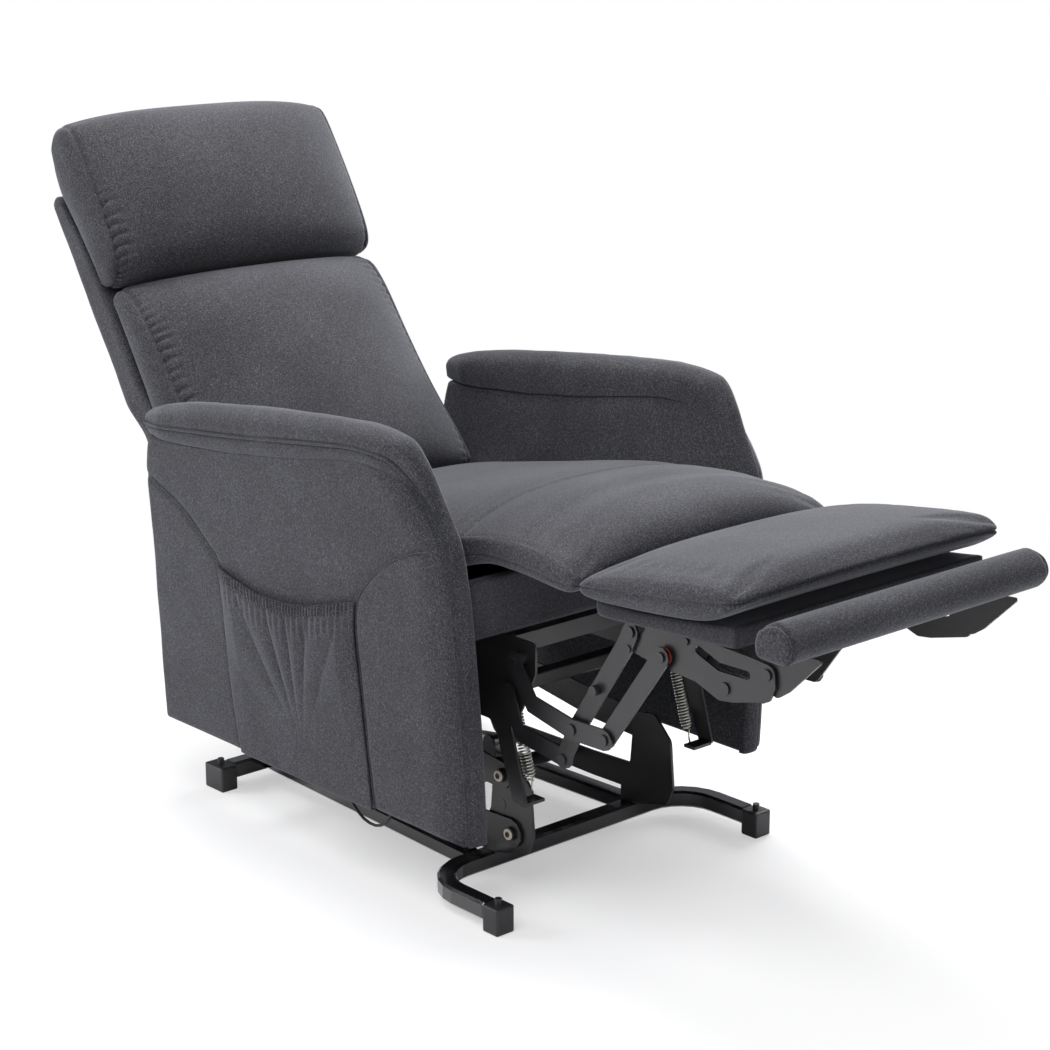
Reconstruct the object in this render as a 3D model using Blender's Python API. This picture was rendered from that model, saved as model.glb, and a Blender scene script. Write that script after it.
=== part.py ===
"""Lift recliner chair: a power lift base, a two-part footrest linkage and a reclining back.

Metres, +Z up, origin on the floor under the middle of the chair. The sitter faces -Y, so the
sitter's right side is -X. The rest pose is seat down, footrest out and back reclined.
"""
import math

import bmesh
import bpy
from mathutils import Vector

# ---- overall widths (half widths, measured from the middle plane) ----
PANEL_OUT = 0.335
PANEL_IN = 0.2875
CUSHION_HALF = 0.281
HEAD_HALF = 0.287
SHELL_LOW_HALF = 0.272
SHELL_TOP_HALF = 0.2865
GAP = 0.0004

# ---- the arms spread outward as they rise ----
ARM_LEAN = 0.045
PANEL_LOW = 0.1376

# ---- base on the floor ----
TUBE = 0.030
TUBE_LOW = 0.0157
TUBE_TOP = 0.0450
FRONT_TUBE_Y = -0.142
FRONT_LEG_X = 0.2917
FRONT_FACE_Y = -0.3346
BEND_R = 0.080
REAR_TUBE_Y = 0.4694
REAR_CAP_X = 0.2576
SIDE_X_FRONT = 0.180
SIDE_X_REAR = 0.155
CAP_FRONT = (0.036, 0.035)
CAP_REAR = (0.0335, 0.053)

# ---- lift linkage: floor pivots and chair pivots as (y, z) ----
LIFT_LOW_FRONT = (-0.2044, 0.093)
LIFT_LOW_REAR = (0.190, 0.088)
LIFT_UP_FRONT = (-0.181, 0.186)
LIFT_UP_REAR = (0.190, 0.225)
ACTUATOR_REAR = (0.430, 0.092)
ACTUATOR_FRONT = (0.010, 0.155)

# ---- footrest linkage: pivots as (y, z) ----
LONG_PIVOT = (-0.2878, 0.420)
SHORT_PIVOT = (-0.2585, 0.360)
CROSS = (-0.420, 0.345)
LONG_END = (-0.489, 0.347)
SHORT_END = (-0.3895, 0.2864)
REAR_TOP = (-0.532, 0.5227)
FRONT_TOP = (-0.5997, 0.502)
FLIPPER_PIVOT = (-0.795, 0.5227)
LINK_T = 0.004
LAYER_MECH = 0.2065
LAYER_FLIPPER = 0.2115
LAYER_PLATE = 0.2165
LAYER_ARM = 0.2215
LAYER_FRONT_ARM = 0.2265
LAYER_LONG = 0.2315
LAYER_RISER = 0.1550
LAYER_LIFT = 0.1610
LAYER_LIFT_BRACKET = 0.1665

# ---- back ----
BACK_PIVOT = (0.430, 0.470)
RECLINE = math.radians(32.3)

SIDES = (("left", 1.0), ("right", -1.0))


# ---------------------------------------------------------------- scene and materials
def clear_scene():
    for ob in list(bpy.data.objects):
        bpy.data.objects.remove(ob, do_unlink=True)


def material(name, colour, roughness, metallic=0.0):
    mat = bpy.data.materials.new(name)
    mat.use_nodes = True
    shader = mat.node_tree.nodes["Principled BSDF"]
    shader.inputs["Base Color"].default_value = (*colour, 1.0)
    shader.inputs["Roughness"].default_value = roughness
    shader.inputs["Metallic"].default_value = metallic
    return mat


def make_materials():
    return {
        "fabric": material("charcoal_fabric", (0.075, 0.075, 0.090), 0.95),
        "tube": material("gloss_black_tube", (0.010, 0.010, 0.012), 0.25, 0.3),
        "steel": material("satin_black_steel", (0.035, 0.035, 0.038), 0.45, 0.4),
        "spring": material("zinc_spring", (0.62, 0.60, 0.55), 0.30, 1.0),
        "plastic": material("black_plastic", (0.015, 0.015, 0.016), 0.40),
        "dust": material("black_lining", (0.012, 0.012, 0.014), 0.60),
    }


# ---------------------------------------------------------------- mesh helpers
def finish(name, bm, mat, smooth_deg=35.0):
    """Turn a bmesh into a named object with outward faces and its own material."""
    bmesh.ops.recalc_face_normals(bm, faces=bm.faces)
    mesh = bpy.data.meshes.new(name)
    bm.to_mesh(mesh)
    bm.free()
    mesh.shade_smooth()
    mesh.set_sharp_from_angle(angle=math.radians(smooth_deg))
    ob = bpy.data.objects.new(name, mesh)
    bpy.context.scene.collection.objects.link(ob)
    ob.data.materials.append(mat)
    return ob


def round_corners(points, radii, steps=4):
    """Replace each corner of a closed (y, z) outline by an arc of its own radius."""
    out = []
    count = len(points)
    for i, point in enumerate(points):
        here = Vector(point)
        before = Vector(points[i - 1]) - here
        after = Vector(points[(i + 1) % count]) - here
        radius = radii[i] if isinstance(radii, (list, tuple)) else radii
        if radius <= 0.0:
            out.append(here)
            continue
        half = before.angle(after) / 2.0
        reach = radius / math.tan(half)
        reach = min(reach, 0.49 * before.length, 0.49 * after.length)
        start = here + before.normalized() * reach
        end = here + after.normalized() * reach
        for k in range(steps + 1):
            t = k / steps
            out.append(start.lerp(here, t).lerp(here.lerp(end, t), t))
    return out


def extrude_yz(name, outline, x_low, x_high, mat, bevel=0.0):
    """A closed (y, z) outline pushed along X from x_low to x_high."""
    bm = bmesh.new()
    low = [bm.verts.new((x_low, p[0], p[1])) for p in outline]
    face = bm.faces.new(low)
    grown = bmesh.ops.extrude_face_region(bm, geom=[face])
    top = [v for v in grown["geom"] if isinstance(v, bmesh.types.BMVert)]
    bmesh.ops.translate(bm, verts=top, vec=(x_high - x_low, 0.0, 0.0))
    ob = finish(name, bm, mat)
    if bevel > 0.0:
        add_bevel(ob, bevel)
    return ob


CROWN_STATIONS = (-1.0, -0.92, -0.78, -0.55, 0.0, 0.55, 0.78, 0.92, 1.0)
CROWN_POWER = 2.6


def crowned(name, middle, edge, half, mat, bevel, half_at=None):
    """A cushion across the chair: its middle outline changes smoothly into its edge outline.

    Both outlines are closed (y, z) lists of the same length. half_at(y) widens it along the way.
    """
    bm = bmesh.new()
    rings = []
    for station in CROWN_STATIONS:
        weight = abs(station) ** CROWN_POWER
        ring = []
        for mid_point, edge_point in zip(middle, edge):
            y, z = Vector(mid_point).lerp(Vector(edge_point), weight)
            reach = half_at(y) if half_at else half
            ring.append(bm.verts.new((station * reach, y, z)))
        rings.append(ring)
    count = len(rings[0])
    for first, second in zip(rings, rings[1:]):
        for k in range(count):
            bm.faces.new((first[k], first[(k + 1) % count], second[(k + 1) % count], second[k]))
    bm.faces.new(rings[0])
    bm.faces.new(list(reversed(rings[-1])))
    ob = finish(name, bm, mat)
    add_bevel(ob, bevel)
    return ob


def lean_out(ob, s):
    """Shear an arm part outward with its height."""
    for vert in ob.data.vertices:
        vert.co.x += s * ARM_LEAN * (vert.co.z - PANEL_LOW)


def arm_inner(z):
    """Distance of the arm's inner face from the middle plane at a height."""
    return PANEL_IN + ARM_LEAN * (z - PANEL_LOW)


def add_bevel(ob, width, segments=2, angle=50.0):
    mod = ob.modifiers.new("soft_edges", "BEVEL")
    mod.width = width
    mod.segments = segments
    mod.limit_method = "ANGLE"
    mod.angle_limit = math.radians(angle)


def box(name, low, high, mat, bevel=0.0):
    bm = bmesh.new()
    bmesh.ops.create_cube(bm, size=1.0)
    size = [high[i] - low[i] for i in range(3)]
    mid = [(high[i] + low[i]) / 2.0 for i in range(3)]
    bmesh.ops.scale(bm, verts=bm.verts, vec=size)
    bmesh.ops.translate(bm, verts=bm.verts, vec=mid)
    ob = finish(name, bm, mat)
    if bevel > 0.0:
        add_bevel(ob, bevel)
    return ob


def cylinder(name, start, end, radius, mat, sides=12):
    """A round bar from start to end."""
    start, end = Vector(start), Vector(end)
    axis = end - start
    bm = bmesh.new()
    bmesh.ops.create_cone(bm, cap_ends=True, segments=sides, radius1=radius, radius2=radius,
                          depth=axis.length)
    turn = axis.to_track_quat("Z", "Y").to_matrix()
    bmesh.ops.rotate(bm, verts=bm.verts, matrix=turn)
    bmesh.ops.translate(bm, verts=bm.verts, vec=(start + end) / 2.0)
    return finish(name, bm, mat)


def pin(y, z, x_low, x_high, radius, mat, sides=12):
    return cylinder("pin", (x_low, y, z), (x_high, y, z), radius, mat, sides)


def combine(target, others, operation="UNION"):
    """Join or cut solids with exact booleans and bake the result into the target."""
    for other in others:
        mod = target.modifiers.new("combine", "BOOLEAN")
        mod.operation = operation
        mod.solver = "EXACT"
        mod.object = other
    graph = bpy.context.evaluated_depsgraph_get()
    mesh = bpy.data.meshes.new_from_object(target.evaluated_get(graph))
    target.modifiers.clear()
    target.data = mesh
    for other in others:
        bpy.data.objects.remove(other, do_unlink=True)
    return target


def sweep_rect(name, path, width, height, mat):
    """A rectangular bar along a level path of (x, y, z) points on its middle line."""
    bm = bmesh.new()
    rings = []
    for i, point in enumerate(path):
        ahead = Vector(path[min(i + 1, len(path) - 1)])
        behind = Vector(path[max(i - 1, 0)])
        along = (ahead - behind).normalized()
        side = Vector((-along.y, along.x, 0.0)) * width / 2.0
        centre = Vector(point)
        lift = Vector((0.0, 0.0, height / 2.0))
        corners = (centre - side - lift, centre + side - lift, centre + side + lift, centre - side + lift)
        rings.append([bm.verts.new(c) for c in corners])
    for first, second in zip(rings, rings[1:]):
        for k in range(4):
            bm.faces.new((first[k], first[(k + 1) % 4], second[(k + 1) % 4], second[k]))
    bm.faces.new(rings[0])
    bm.faces.new(list(reversed(rings[-1])))
    ob = finish(name, bm, mat)
    add_bevel(ob, 0.004, 1, 60.0)
    return ob


def bar_outline(stations, steps=5):
    """The (y, z) outline of a bar with round ends through stations of (y, z, half width)."""
    points = [Vector(s[:2]) for s in stations]
    halves = [s[2] for s in stations]
    left, right = [], []
    for i, here in enumerate(points):
        ahead = points[min(i + 1, len(points) - 1)]
        behind = points[max(i - 1, 0)]
        along = (ahead - behind).normalized()
        side = Vector((-along.y, along.x)) * halves[i]
        left.append(here + side)
        right.append(here - side)
    start_dir = (points[0] - points[1]).normalized()
    end_dir = (points[-1] - points[-2]).normalized()
    return left + cap_arc(points[-1], end_dir, halves[-1], steps) + right[::-1] + cap_arc(
        points[0], start_dir, halves[0], steps)


def cap_arc(centre, outward, radius, steps):
    """Points of the half circle that closes a bar, without its two end points."""
    side = Vector((-outward.y, outward.x))
    out = []
    for k in range(1, steps):
        a = math.pi * k / steps
        out.append(centre + side * (radius * math.cos(a)) + outward * (radius * math.sin(a)))
    return out


def link(name, stations, layer, s, mat, heads, spacers=()):
    """A flat steel link in one X layer. heads are rivet heads on its outer face, spacers inner bosses."""
    inner, outer = s * layer, s * (layer + LINK_T)
    ob = extrude_yz(name, bar_outline(stations), min(inner, outer), max(inner, outer), mat)
    parts = []
    for y, z, radius, height in heads:
        ends = (s * (layer + LINK_T - 0.001), s * (layer + LINK_T + height))
        parts.append(pin(y, z, min(ends), max(ends), radius, mat))
    for y, z, radius, reach in spacers:
        ends = (s * (layer - reach), s * (layer + 0.001))
        parts.append(pin(y, z, min(ends), max(ends), radius, mat))
    return combine(ob, parts) if parts else ob


# ---------------------------------------------------------------- base
def front_tube_path():
    """Plan path of the front floor tube: a cross run with a large bend to each front foot."""
    leg_end = FRONT_FACE_Y + CAP_FRONT[1] + GAP
    mid = (TUBE_LOW + TUBE_TOP) / 2.0
    path = [(FRONT_LEG_X, leg_end, mid)]
    for k in range(7):
        a = math.radians(90.0 * k / 6.0)
        path.append((FRONT_LEG_X - BEND_R + BEND_R * math.cos(a),
                     FRONT_TUBE_Y - BEND_R + BEND_R * math.sin(a), mid))
    return path + [(-x, y, z) for x, y, z in reversed(path)]


def build_base(m):
    height = TUBE_TOP - TUBE_LOW
    sweep_rect("base_front_tube", front_tube_path(), TUBE, height, m["tube"])
    rear_end = REAR_CAP_X - CAP_REAR[0] / 2.0 - GAP
    box("base_rear_tube", (-rear_end, REAR_TUBE_Y - TUBE / 2.0, TUBE_LOW),
        (rear_end, REAR_TUBE_Y + TUBE / 2.0, TUBE_TOP), m["tube"], 0.004)
    for side, s in SIDES:
        front_y = FRONT_TUBE_Y + TUBE / 2.0 + 0.001
        rear_y = REAR_TUBE_Y - TUBE / 2.0 - 0.001
        mid = (TUBE_LOW + TUBE_TOP) / 2.0
        path = [(s * SIDE_X_FRONT, front_y, mid), (s * SIDE_X_REAR, rear_y, mid)]
        sweep_rect("base_side_tube_" + side, path, TUBE, height - 0.002, m["tube"])
        build_riser(side, s, m)
    build_feet(m)
    build_actuator_mount(m)


def build_riser(side, s, m):
    """Upright plate welded to the front tube, which carries both lift links of one side."""
    outline = round_corners(
        [(-0.128, 0.0454), (-0.158, 0.0454), (-0.240, 0.066), (-0.2520, 0.098), (-0.2444, 0.180),
         (-0.206, 0.219), (-0.158, 0.212), (-0.150, 0.120), (-0.128, 0.085)],
        [0.0, 0.0, 0.016, 0.010, 0.020, 0.016, 0.020, 0.020, 0.010])
    ends = sorted((s * LAYER_RISER, s * (LAYER_RISER + 0.005)))
    plate = extrude_yz("riser_plate_" + side, outline, ends[0], ends[1], m["steel"])
    stud_ends = sorted((s * (LAYER_RISER + 0.004), s * (LAYER_LIFT - GAP)))
    combine(plate, [pin(-0.178, 0.134, stud_ends[0], stud_ends[1], 0.009, m["steel"])])


def build_feet(m):
    """Four moulded caps over the tube ends, each with its levelling screw through the top."""
    for side, s in SIDES:
        low_x = s * FRONT_LEG_X - CAP_FRONT[0] / 2.0
        place_foot("foot_cap_front_" + side, low_x, FRONT_FACE_Y, CAP_FRONT, m)
        low_x = s * REAR_CAP_X - CAP_REAR[0] / 2.0
        place_foot("foot_cap_rear_" + side, low_x, REAR_TUBE_Y - CAP_REAR[1] / 2.0, CAP_REAR, m)


def place_foot(name, low_x, low_y, size, m):
    top = TUBE_TOP + 0.0005
    foot = box(name, (low_x, low_y, 0.0), (low_x + size[0], low_y + size[1], top), m["plastic"], 0.003)
    mid_x, mid_y = low_x + size[0] / 2.0, low_y + size[1] / 2.0
    screw = cylinder("screw", (mid_x, mid_y, top - 0.004), (mid_x, mid_y, top + 0.010), 0.006,
                     m["plastic"], 6)
    combine(foot, [screw])


def build_actuator_mount(m):
    """Clevis plate welded on the rear tube, where the actuator's tail is pinned."""
    y, z = ACTUATOR_REAR
    outline = round_corners(
        [(REAR_TUBE_Y - 0.014, TUBE_TOP + GAP), (REAR_TUBE_Y + 0.014, TUBE_TOP + GAP),
         (y + 0.020, z + 0.020), (y - 0.016, z + 0.020), (y - 0.016, z - 0.020)],
        [0.0, 0.0, 0.012, 0.012, 0.010])
    left = extrude_yz("actuator_mount", outline, -0.026, -0.021, m["steel"])
    right = extrude_yz("ear", outline, 0.021, 0.026, m["steel"])
    foot = box("foot", (-0.0255, REAR_TUBE_Y - 0.012, TUBE_TOP + GAP),
               (0.0255, REAR_TUBE_Y + 0.012, TUBE_TOP + GAP + 0.004), m["steel"])
    combine(left, [right, foot])


# ---------------------------------------------------------------- lift linkage and actuator
def build_lift(m):
    for side, s in SIDES:
        bush = 0.0115
        low = [(*LIFT_LOW_FRONT, 0.024), (-0.05, 0.088, 0.022), (*LIFT_LOW_REAR, 0.019)]
        link("lift_lower_link_" + side, low, LAYER_LIFT, s, m["steel"],
             [(*LIFT_LOW_FRONT, bush, 0.005), (*LIFT_LOW_REAR, 0.007, 0.0008)])
        high = [(*LIFT_UP_FRONT, 0.023), (-0.05, 0.196, 0.026), (*LIFT_UP_REAR, 0.019)]
        link("lift_upper_link_" + side, high, LAYER_LIFT, s, m["steel"],
             [(*LIFT_UP_FRONT, bush, 0.005), (*LIFT_UP_REAR, 0.007, 0.0008)])
    reach = LAYER_LIFT - GAP
    y, z = ACTUATOR_FRONT
    tube = cylinder("lift_cross_tube", (-reach, y, 0.098), (reach, y, 0.098), 0.0125, m["steel"], 16)
    crank = [(y, 0.098, 0.016), (y, z, 0.013)]
    ears = []
    for x in (-0.026, 0.021):
        ears.append(extrude_yz("ear", bar_outline(crank), x, x + 0.005, m["steel"]))
    combine(tube, ears)


def actuator_axis():
    """Unit vector from the actuator's tail pin to its rod end pin, as (0, y, z)."""
    tail = Vector((0.0, *ACTUATOR_REAR))
    nose = Vector((0.0, *ACTUATOR_FRONT))
    return tail, nose, (nose - tail).normalized()


def build_actuator(m):
    tail, nose, along = actuator_axis()
    body = cylinder("actuator_body", tail - along * 0.010, tail + along * 0.255, 0.0165, m["plastic"], 16)
    motor = cylinder("motor", tail + along * 0.035 + Vector((0, 0, -0.008)),
                     tail + along * 0.115 + Vector((0, 0, 0.020)), 0.0195, m["plastic"], 16)
    drop = box("drop", (-0.018, tail.y - 0.075, 0.052), (0.018, tail.y - 0.020, 0.092), m["plastic"])
    combine(body, [motor, drop])
    bore = cylinder("bore", tail + along * 0.240, tail + along * 0.300, 0.0105, m["plastic"], 16)
    combine(body, [bore], "DIFFERENCE")
    rod = cylinder("actuator_rod", tail + along * 0.244, nose + along * 0.004, 0.0095, m["spring"], 12)
    eye = cylinder("eye", nose - Vector((0.0195, 0, 0)), nose + Vector((0.0195, 0, 0)), 0.0095,
                   m["spring"], 12)
    combine(rod, [eye])


# ---------------------------------------------------------------- chair frame
def build_mech_plate(side, s, m):
    """Side plate that the footrest links, the back bracket and the seat deck are bolted to."""
    outline = round_corners(
        [(-0.312, 0.448), (-0.312, 0.400), (-0.282, 0.335), (-0.255, 0.300), (-0.292, 0.176),
         (-0.262, 0.172), (-0.215, 0.300), (0.330, 0.300), (0.452, 0.452), (0.448, 0.492),
         (0.400, 0.496), (0.330, 0.420), (0.280, 0.4396), (-0.225, 0.448)],
        [0.012, 0.020, 0.020, 0.015, 0.006, 0.006, 0.020, 0.030, 0.020, 0.015, 0.015, 0.03, 0.015, 0.0],
        3)
    ends = sorted((s * LAYER_MECH, s * (LAYER_MECH + LINK_T)))
    plate = extrude_yz("mech_plate_" + side, outline, ends[0], ends[1], m["steel"])
    tab_ends = sorted((s * 0.168, s * (LAYER_MECH + 0.002)))
    tab = box("tab", (tab_ends[0], -0.288, 0.174), (tab_ends[1], -0.264, 0.179), m["steel"])
    combine(plate, [tab])


def build_frame(m):
    for side, s in SIDES:
        build_mech_plate(side, s, m)
        outline = round_corners(
            [(0.168, 0.070), (0.212, 0.070), (0.324, 0.262), (0.324, 0.2738), (0.162, 0.2738)],
            [0.018, 0.018, 0.010, 0.0, 0.0], 3)
        ends = sorted((s * LAYER_LIFT_BRACKET, s * (LAYER_LIFT_BRACKET + LINK_T)))
        extrude_yz("lift_bracket_" + side, outline, ends[0], ends[1], m["steel"])
    rail_low, rail_top = 0.2742, 0.2996
    reach = arm_inner(rail_low) - GAP
    for name, y in (("cross_rail_front", -0.080), ("cross_rail_rear", 0.300)):
        box(name, (-reach, y - 0.0125, rail_low), (reach, y + 0.0125, rail_top), m["steel"], 0.003)
    build_front_rail(m)
    build_seat(m)
    build_springs(m)
    build_electrics(m)


def build_front_rail(m):
    """Steel angle between the two mechanism plates, under the fabric covered apron board."""
    reach = LAYER_MECH - GAP
    outline = [(-0.2035, 0.393), (-0.2005, 0.393), (-0.2005, 0.420), (-0.165, 0.420), (-0.165, 0.423),
               (-0.2035, 0.423)]
    rail = extrude_yz("front_rail", outline, -reach, reach, m["steel"])
    hooks = []
    for _, s in SIDES:
        hooks.append(box("hook", (s * 0.176 - 0.006, -0.213, 0.384), (s * 0.176 + 0.006, -0.2015, 0.395),
                         m["steel"]))
    combine(rail, hooks)
    apron_low, apron_top = 0.4565, 0.5515
    reach = arm_inner(apron_low) - GAP
    box("front_apron", (-reach, -0.262, apron_low), (reach, -0.2445, apron_top), m["fabric"], 0.004)


def build_seat(m):
    box("seat_deck", (-0.275, -0.2430, 0.4486), (0.275, 0.262, 0.4640), m["dust"], 0.003)
    radii = [0.010, 0.010, 0.0, 0.0, 0.02, 0.010, 0.010, 0.010, 0.025, 0.050, 0.060, 0.060, 0.015]
    middle = [(0.3160, 0.4900), (0.2640, 0.4648), (-0.2390, 0.4648), (-0.2390, 0.5565), (-0.3500, 0.5650),
              (-0.4550, 0.5745), (-0.4780, 0.5900), (-0.4780, 0.6220), (-0.4450, 0.6540),
              (-0.3200, 0.6690), (-0.1500, 0.6520), (0.0500, 0.6080), (0.3140, 0.5540)]
    edge = [(0.3160, 0.4900), (0.2640, 0.4648), (-0.2390, 0.4648), (-0.2390, 0.5900), (-0.3350, 0.5960),
            (-0.4550, 0.5745), (-0.4780, 0.5850), (-0.4780, 0.5980), (-0.4300, 0.6200),
            (-0.3200, 0.6260), (-0.1500, 0.6040), (0.0500, 0.5760), (0.3140, 0.5340)]
    crowned("seat_cushion", round_corners(middle, radii, 3), round_corners(edge, radii, 3), CUSHION_HALF,
            m["fabric"], 0.006, seat_half)


def seat_half(y):
    """Half width of the seat: narrow where it overhangs the front, wider between the arms."""
    blend = min(1.0, max(0.0, (y + 0.275) / 0.060))
    return CUSHION_HALF + 0.0175 * blend * blend * (3.0 - 2.0 * blend)


def coil_points(start, end, radius, turns, per_turn):
    """Points of a close-wound spring from start to end with a hook run at each end."""
    start, end = Vector(start), Vector(end)
    along = (end - start).normalized()
    across = along.cross(Vector((1.0, 0.0, 0.0))).normalized()
    third = along.cross(across)
    hook = 0.016
    first, last = start + along * hook, end - along * hook
    points = [start, start + along * hook * 0.6]
    total = turns * per_turn
    for k in range(total + 1):
        a = 2.0 * math.pi * k / per_turn
        swirl = across * (radius * math.cos(a)) + third * (radius * math.sin(a))
        points.append(first.lerp(last, k / total) + swirl)
    return points + [end - along * hook * 0.6, end]


def wire(name, points, radius, mat, resolution=1):
    """A round wire through points, turned into a closed mesh."""
    curve = bpy.data.curves.new(name, "CURVE")
    curve.dimensions = "3D"
    curve.bevel_depth = radius
    curve.bevel_resolution = resolution
    curve.use_fill_caps = True
    spline = curve.splines.new("POLY")
    spline.points.add(len(points) - 1)
    for slot, point in zip(spline.points, points):
        slot.co = (*point, 1.0)
    curve.materials.append(mat)
    ob = bpy.data.objects.new(name, curve)
    bpy.context.scene.collection.objects.link(ob)
    return ob


def build_springs(m):
    for side, s in SIDES:
        x = s * 0.176
        points = coil_points((x, -0.2090, 0.3825), (x, -0.2700, 0.1815), 0.0085, 9, 8)
        wire("spring_" + side, points, 0.0014, m["spring"], 0)


def smooth_route(points, per_span):
    """A Catmull-Rom curve through the route's own points."""
    pts = [Vector(p) for p in points]
    pts = [pts[0] * 2.0 - pts[1]] + pts + [pts[-1] * 2.0 - pts[-2]]
    out = []
    for i in range(1, len(pts) - 2):
        a, b, c, d = pts[i - 1], pts[i], pts[i + 1], pts[i + 2]
        for k in range(per_span):
            t = k / per_span
            out.append(0.5 * (2.0 * b + (c - a) * t + (2.0 * a - 5.0 * b + 4.0 * c - d) * t * t
                              + (3.0 * b - a - 3.0 * c + d) * t ** 3))
    return out + [pts[-2]]


LEAD_ROUTE = (
    (-0.2040, 0.115, 0.285), (-0.2200, 0.118, 0.200), (-0.2500, 0.112, 0.110), (-0.2560, 0.075, 0.070),
    (-0.2560, 0.030, 0.060), (-0.2540, -0.004, 0.082), (-0.2500, -0.012, 0.130), (-0.2450, -0.010, 0.200),
    (-0.2430, -0.006, 0.2600),
)


def build_electrics(m):
    """Power supply box under the deck and the lead that loops below the right side panel."""
    box("power_box", (-0.2030, 0.045, 0.2880), (-0.110, 0.205, 0.335), m["plastic"], 0.006)
    points = smooth_route(LEAD_ROUTE, 3)
    wire("power_lead", points, 0.0026, m["plastic"], 1)


def panel_outline():
    """Side panel as (y, z): flat bottom, upright rear edge, arm top and swept front edge."""
    corners = [(0.5225, 0.1376), (0.5223, 0.4660), (0.5250, 0.5880), (0.5130, 0.6340), (0.5080, 0.6540),
               (0.4000, 0.6570), (0.2600, 0.6695), (0.1250, 0.6865), (0.0200, 0.7025), (-0.0600, 0.7145),
               (-0.1090, 0.7160), (-0.1850, 0.6780), (-0.2290, 0.6745), (-0.2460, 0.6490),
               (-0.2630, 0.6150), (-0.2755, 0.5500), (-0.2875, 0.4000), (-0.2930, 0.2500),
               (-0.2925, 0.1376)]
    radii = [0.012, 0.0, 0.03, 0.02, 0.006, 0.0, 0.0, 0.0, 0.0, 0.0, 0.015, 0.0, 0.008, 0.02, 0.03, 0.05,
             0.0, 0.05, 0.006]
    return round_corners(corners, radii, 3)


def build_arms(m):
    for side, s in SIDES:
        ends = sorted((s * PANEL_IN, s * PANEL_OUT))
        panel = extrude_yz("side_panel_" + side, panel_outline(), ends[0], ends[1], m["fabric"], 0.009)
        for part in (panel, build_arm_pad(side, s, m), build_pocket(side, s, m)):
            lean_out(part, s)


def build_arm_pad(side, s, m):
    """Padded arm top that follows the panel's top edge from the rear tip over the front knee."""
    lower = [(0.5070, 0.6560), (0.4000, 0.6585), (0.2600, 0.6710), (0.1250, 0.6880), (0.0200, 0.7040),
             (-0.0600, 0.7160), (-0.1090, 0.7178), (-0.1840, 0.6795), (-0.2280, 0.6765)]
    upper = [(-0.2270, 0.6840), (-0.2070, 0.7220), (-0.1950, 0.7420), (-0.1760, 0.7580),
             (-0.1470, 0.7685), (-0.0900, 0.7740), (0.0100, 0.7695), (0.1300, 0.7598), (0.2630, 0.7455),
             (0.4070, 0.7263), (0.5000, 0.7030), (0.5200, 0.6900)]
    radii = [0.006] + [0.0] * 9 + [0.02, 0.02, 0.03, 0.03, 0.04, 0.05, 0.05, 0.05, 0.05, 0.02, 0.008]
    outline = round_corners(lower + upper, radii, 2)
    ends = sorted((s * (PANEL_IN - 0.003), s * (PANEL_OUT + 0.003)))
    return extrude_yz("arm_pad_" + side, outline, ends[0], ends[1], m["fabric"], 0.010)


def build_pocket(side, s, m):
    """Open-topped pocket sewn on the outside of the panel: a thin wall with a rim on three sides."""
    outer = [(0.3190, 0.4665), (0.3100, 0.4000), (0.3000, 0.2420), (0.2870, 0.1420), (-0.0640, 0.1420),
             (-0.0480, 0.4200), (-0.0520, 0.4870), (0.0940, 0.4470), (0.1750, 0.4415), (0.2580, 0.4520)]
    inner = [(0.3080, 0.5400), (0.2985, 0.4000), (0.2885, 0.2420), (0.2765, 0.1530), (-0.0530, 0.1530),
             (-0.0370, 0.4200), (-0.0400, 0.5400)]
    start, wall, deep = PANEL_OUT + GAP, 0.0025, 0.0115
    ends = sorted((s * start, s * (start + deep + wall)))
    pocket = extrude_yz("pocket_" + side, outer, ends[0], ends[1], m["fabric"])
    cut_ends = sorted((s * (start - 0.005), s * (start + deep)))
    hollow = extrude_yz("hollow", inner, cut_ends[0], cut_ends[1], m["fabric"])
    return combine(pocket, [hollow], "DIFFERENCE")


# ---------------------------------------------------------------- back
def back_point(up, front):
    """(y, z) of a point measured up the back's rear face and forward from it."""
    sin_r, cos_r = math.sin(RECLINE), math.cos(RECLINE)
    base_y, base_z = 0.627, 0.588
    return (base_y + up * sin_r - front * cos_r, base_z + up * cos_r + front * sin_r)


def on_back(profile):
    """The (y, z) outline of a profile given as (up, front) on the back."""
    return [back_point(up, front) for up, front in profile]


def build_back(m):
    build_shell(m)
    build_back_cushion(m)
    build_headrest(m)
    for side, s in SIDES:
        build_back_bracket(side, s, m)
    build_dust_cover(m)


def build_shell(m):
    """Covered wooden shell: narrow between the arms, wide above them."""
    top = [(0.498, -0.0135), (0.505, 0.005), (0.485, 0.020), (0.420, 0.033), (0.280, 0.050)]
    low_part = on_back([(-0.100, -0.0135)] + top + [(-0.070, 0.0515)])
    radii = [0.010, 0.012, 0.015, 0.015, 0.0, 0.0, 0.020]
    shell = extrude_yz("back_shell", round_corners(low_part, radii, 3), -SHELL_LOW_HALF, SHELL_LOW_HALF,
                       m["fabric"])
    high_part = on_back([(0.100, -0.0135)] + top + [(0.110, 0.05075)])
    wide = extrude_yz("wide", round_corners(high_part, radii[:6] + [0.0], 3), -SHELL_TOP_HALF,
                      SHELL_TOP_HALF, m["fabric"])
    combine(shell, [wide])
    add_bevel(shell, 0.008)


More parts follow.
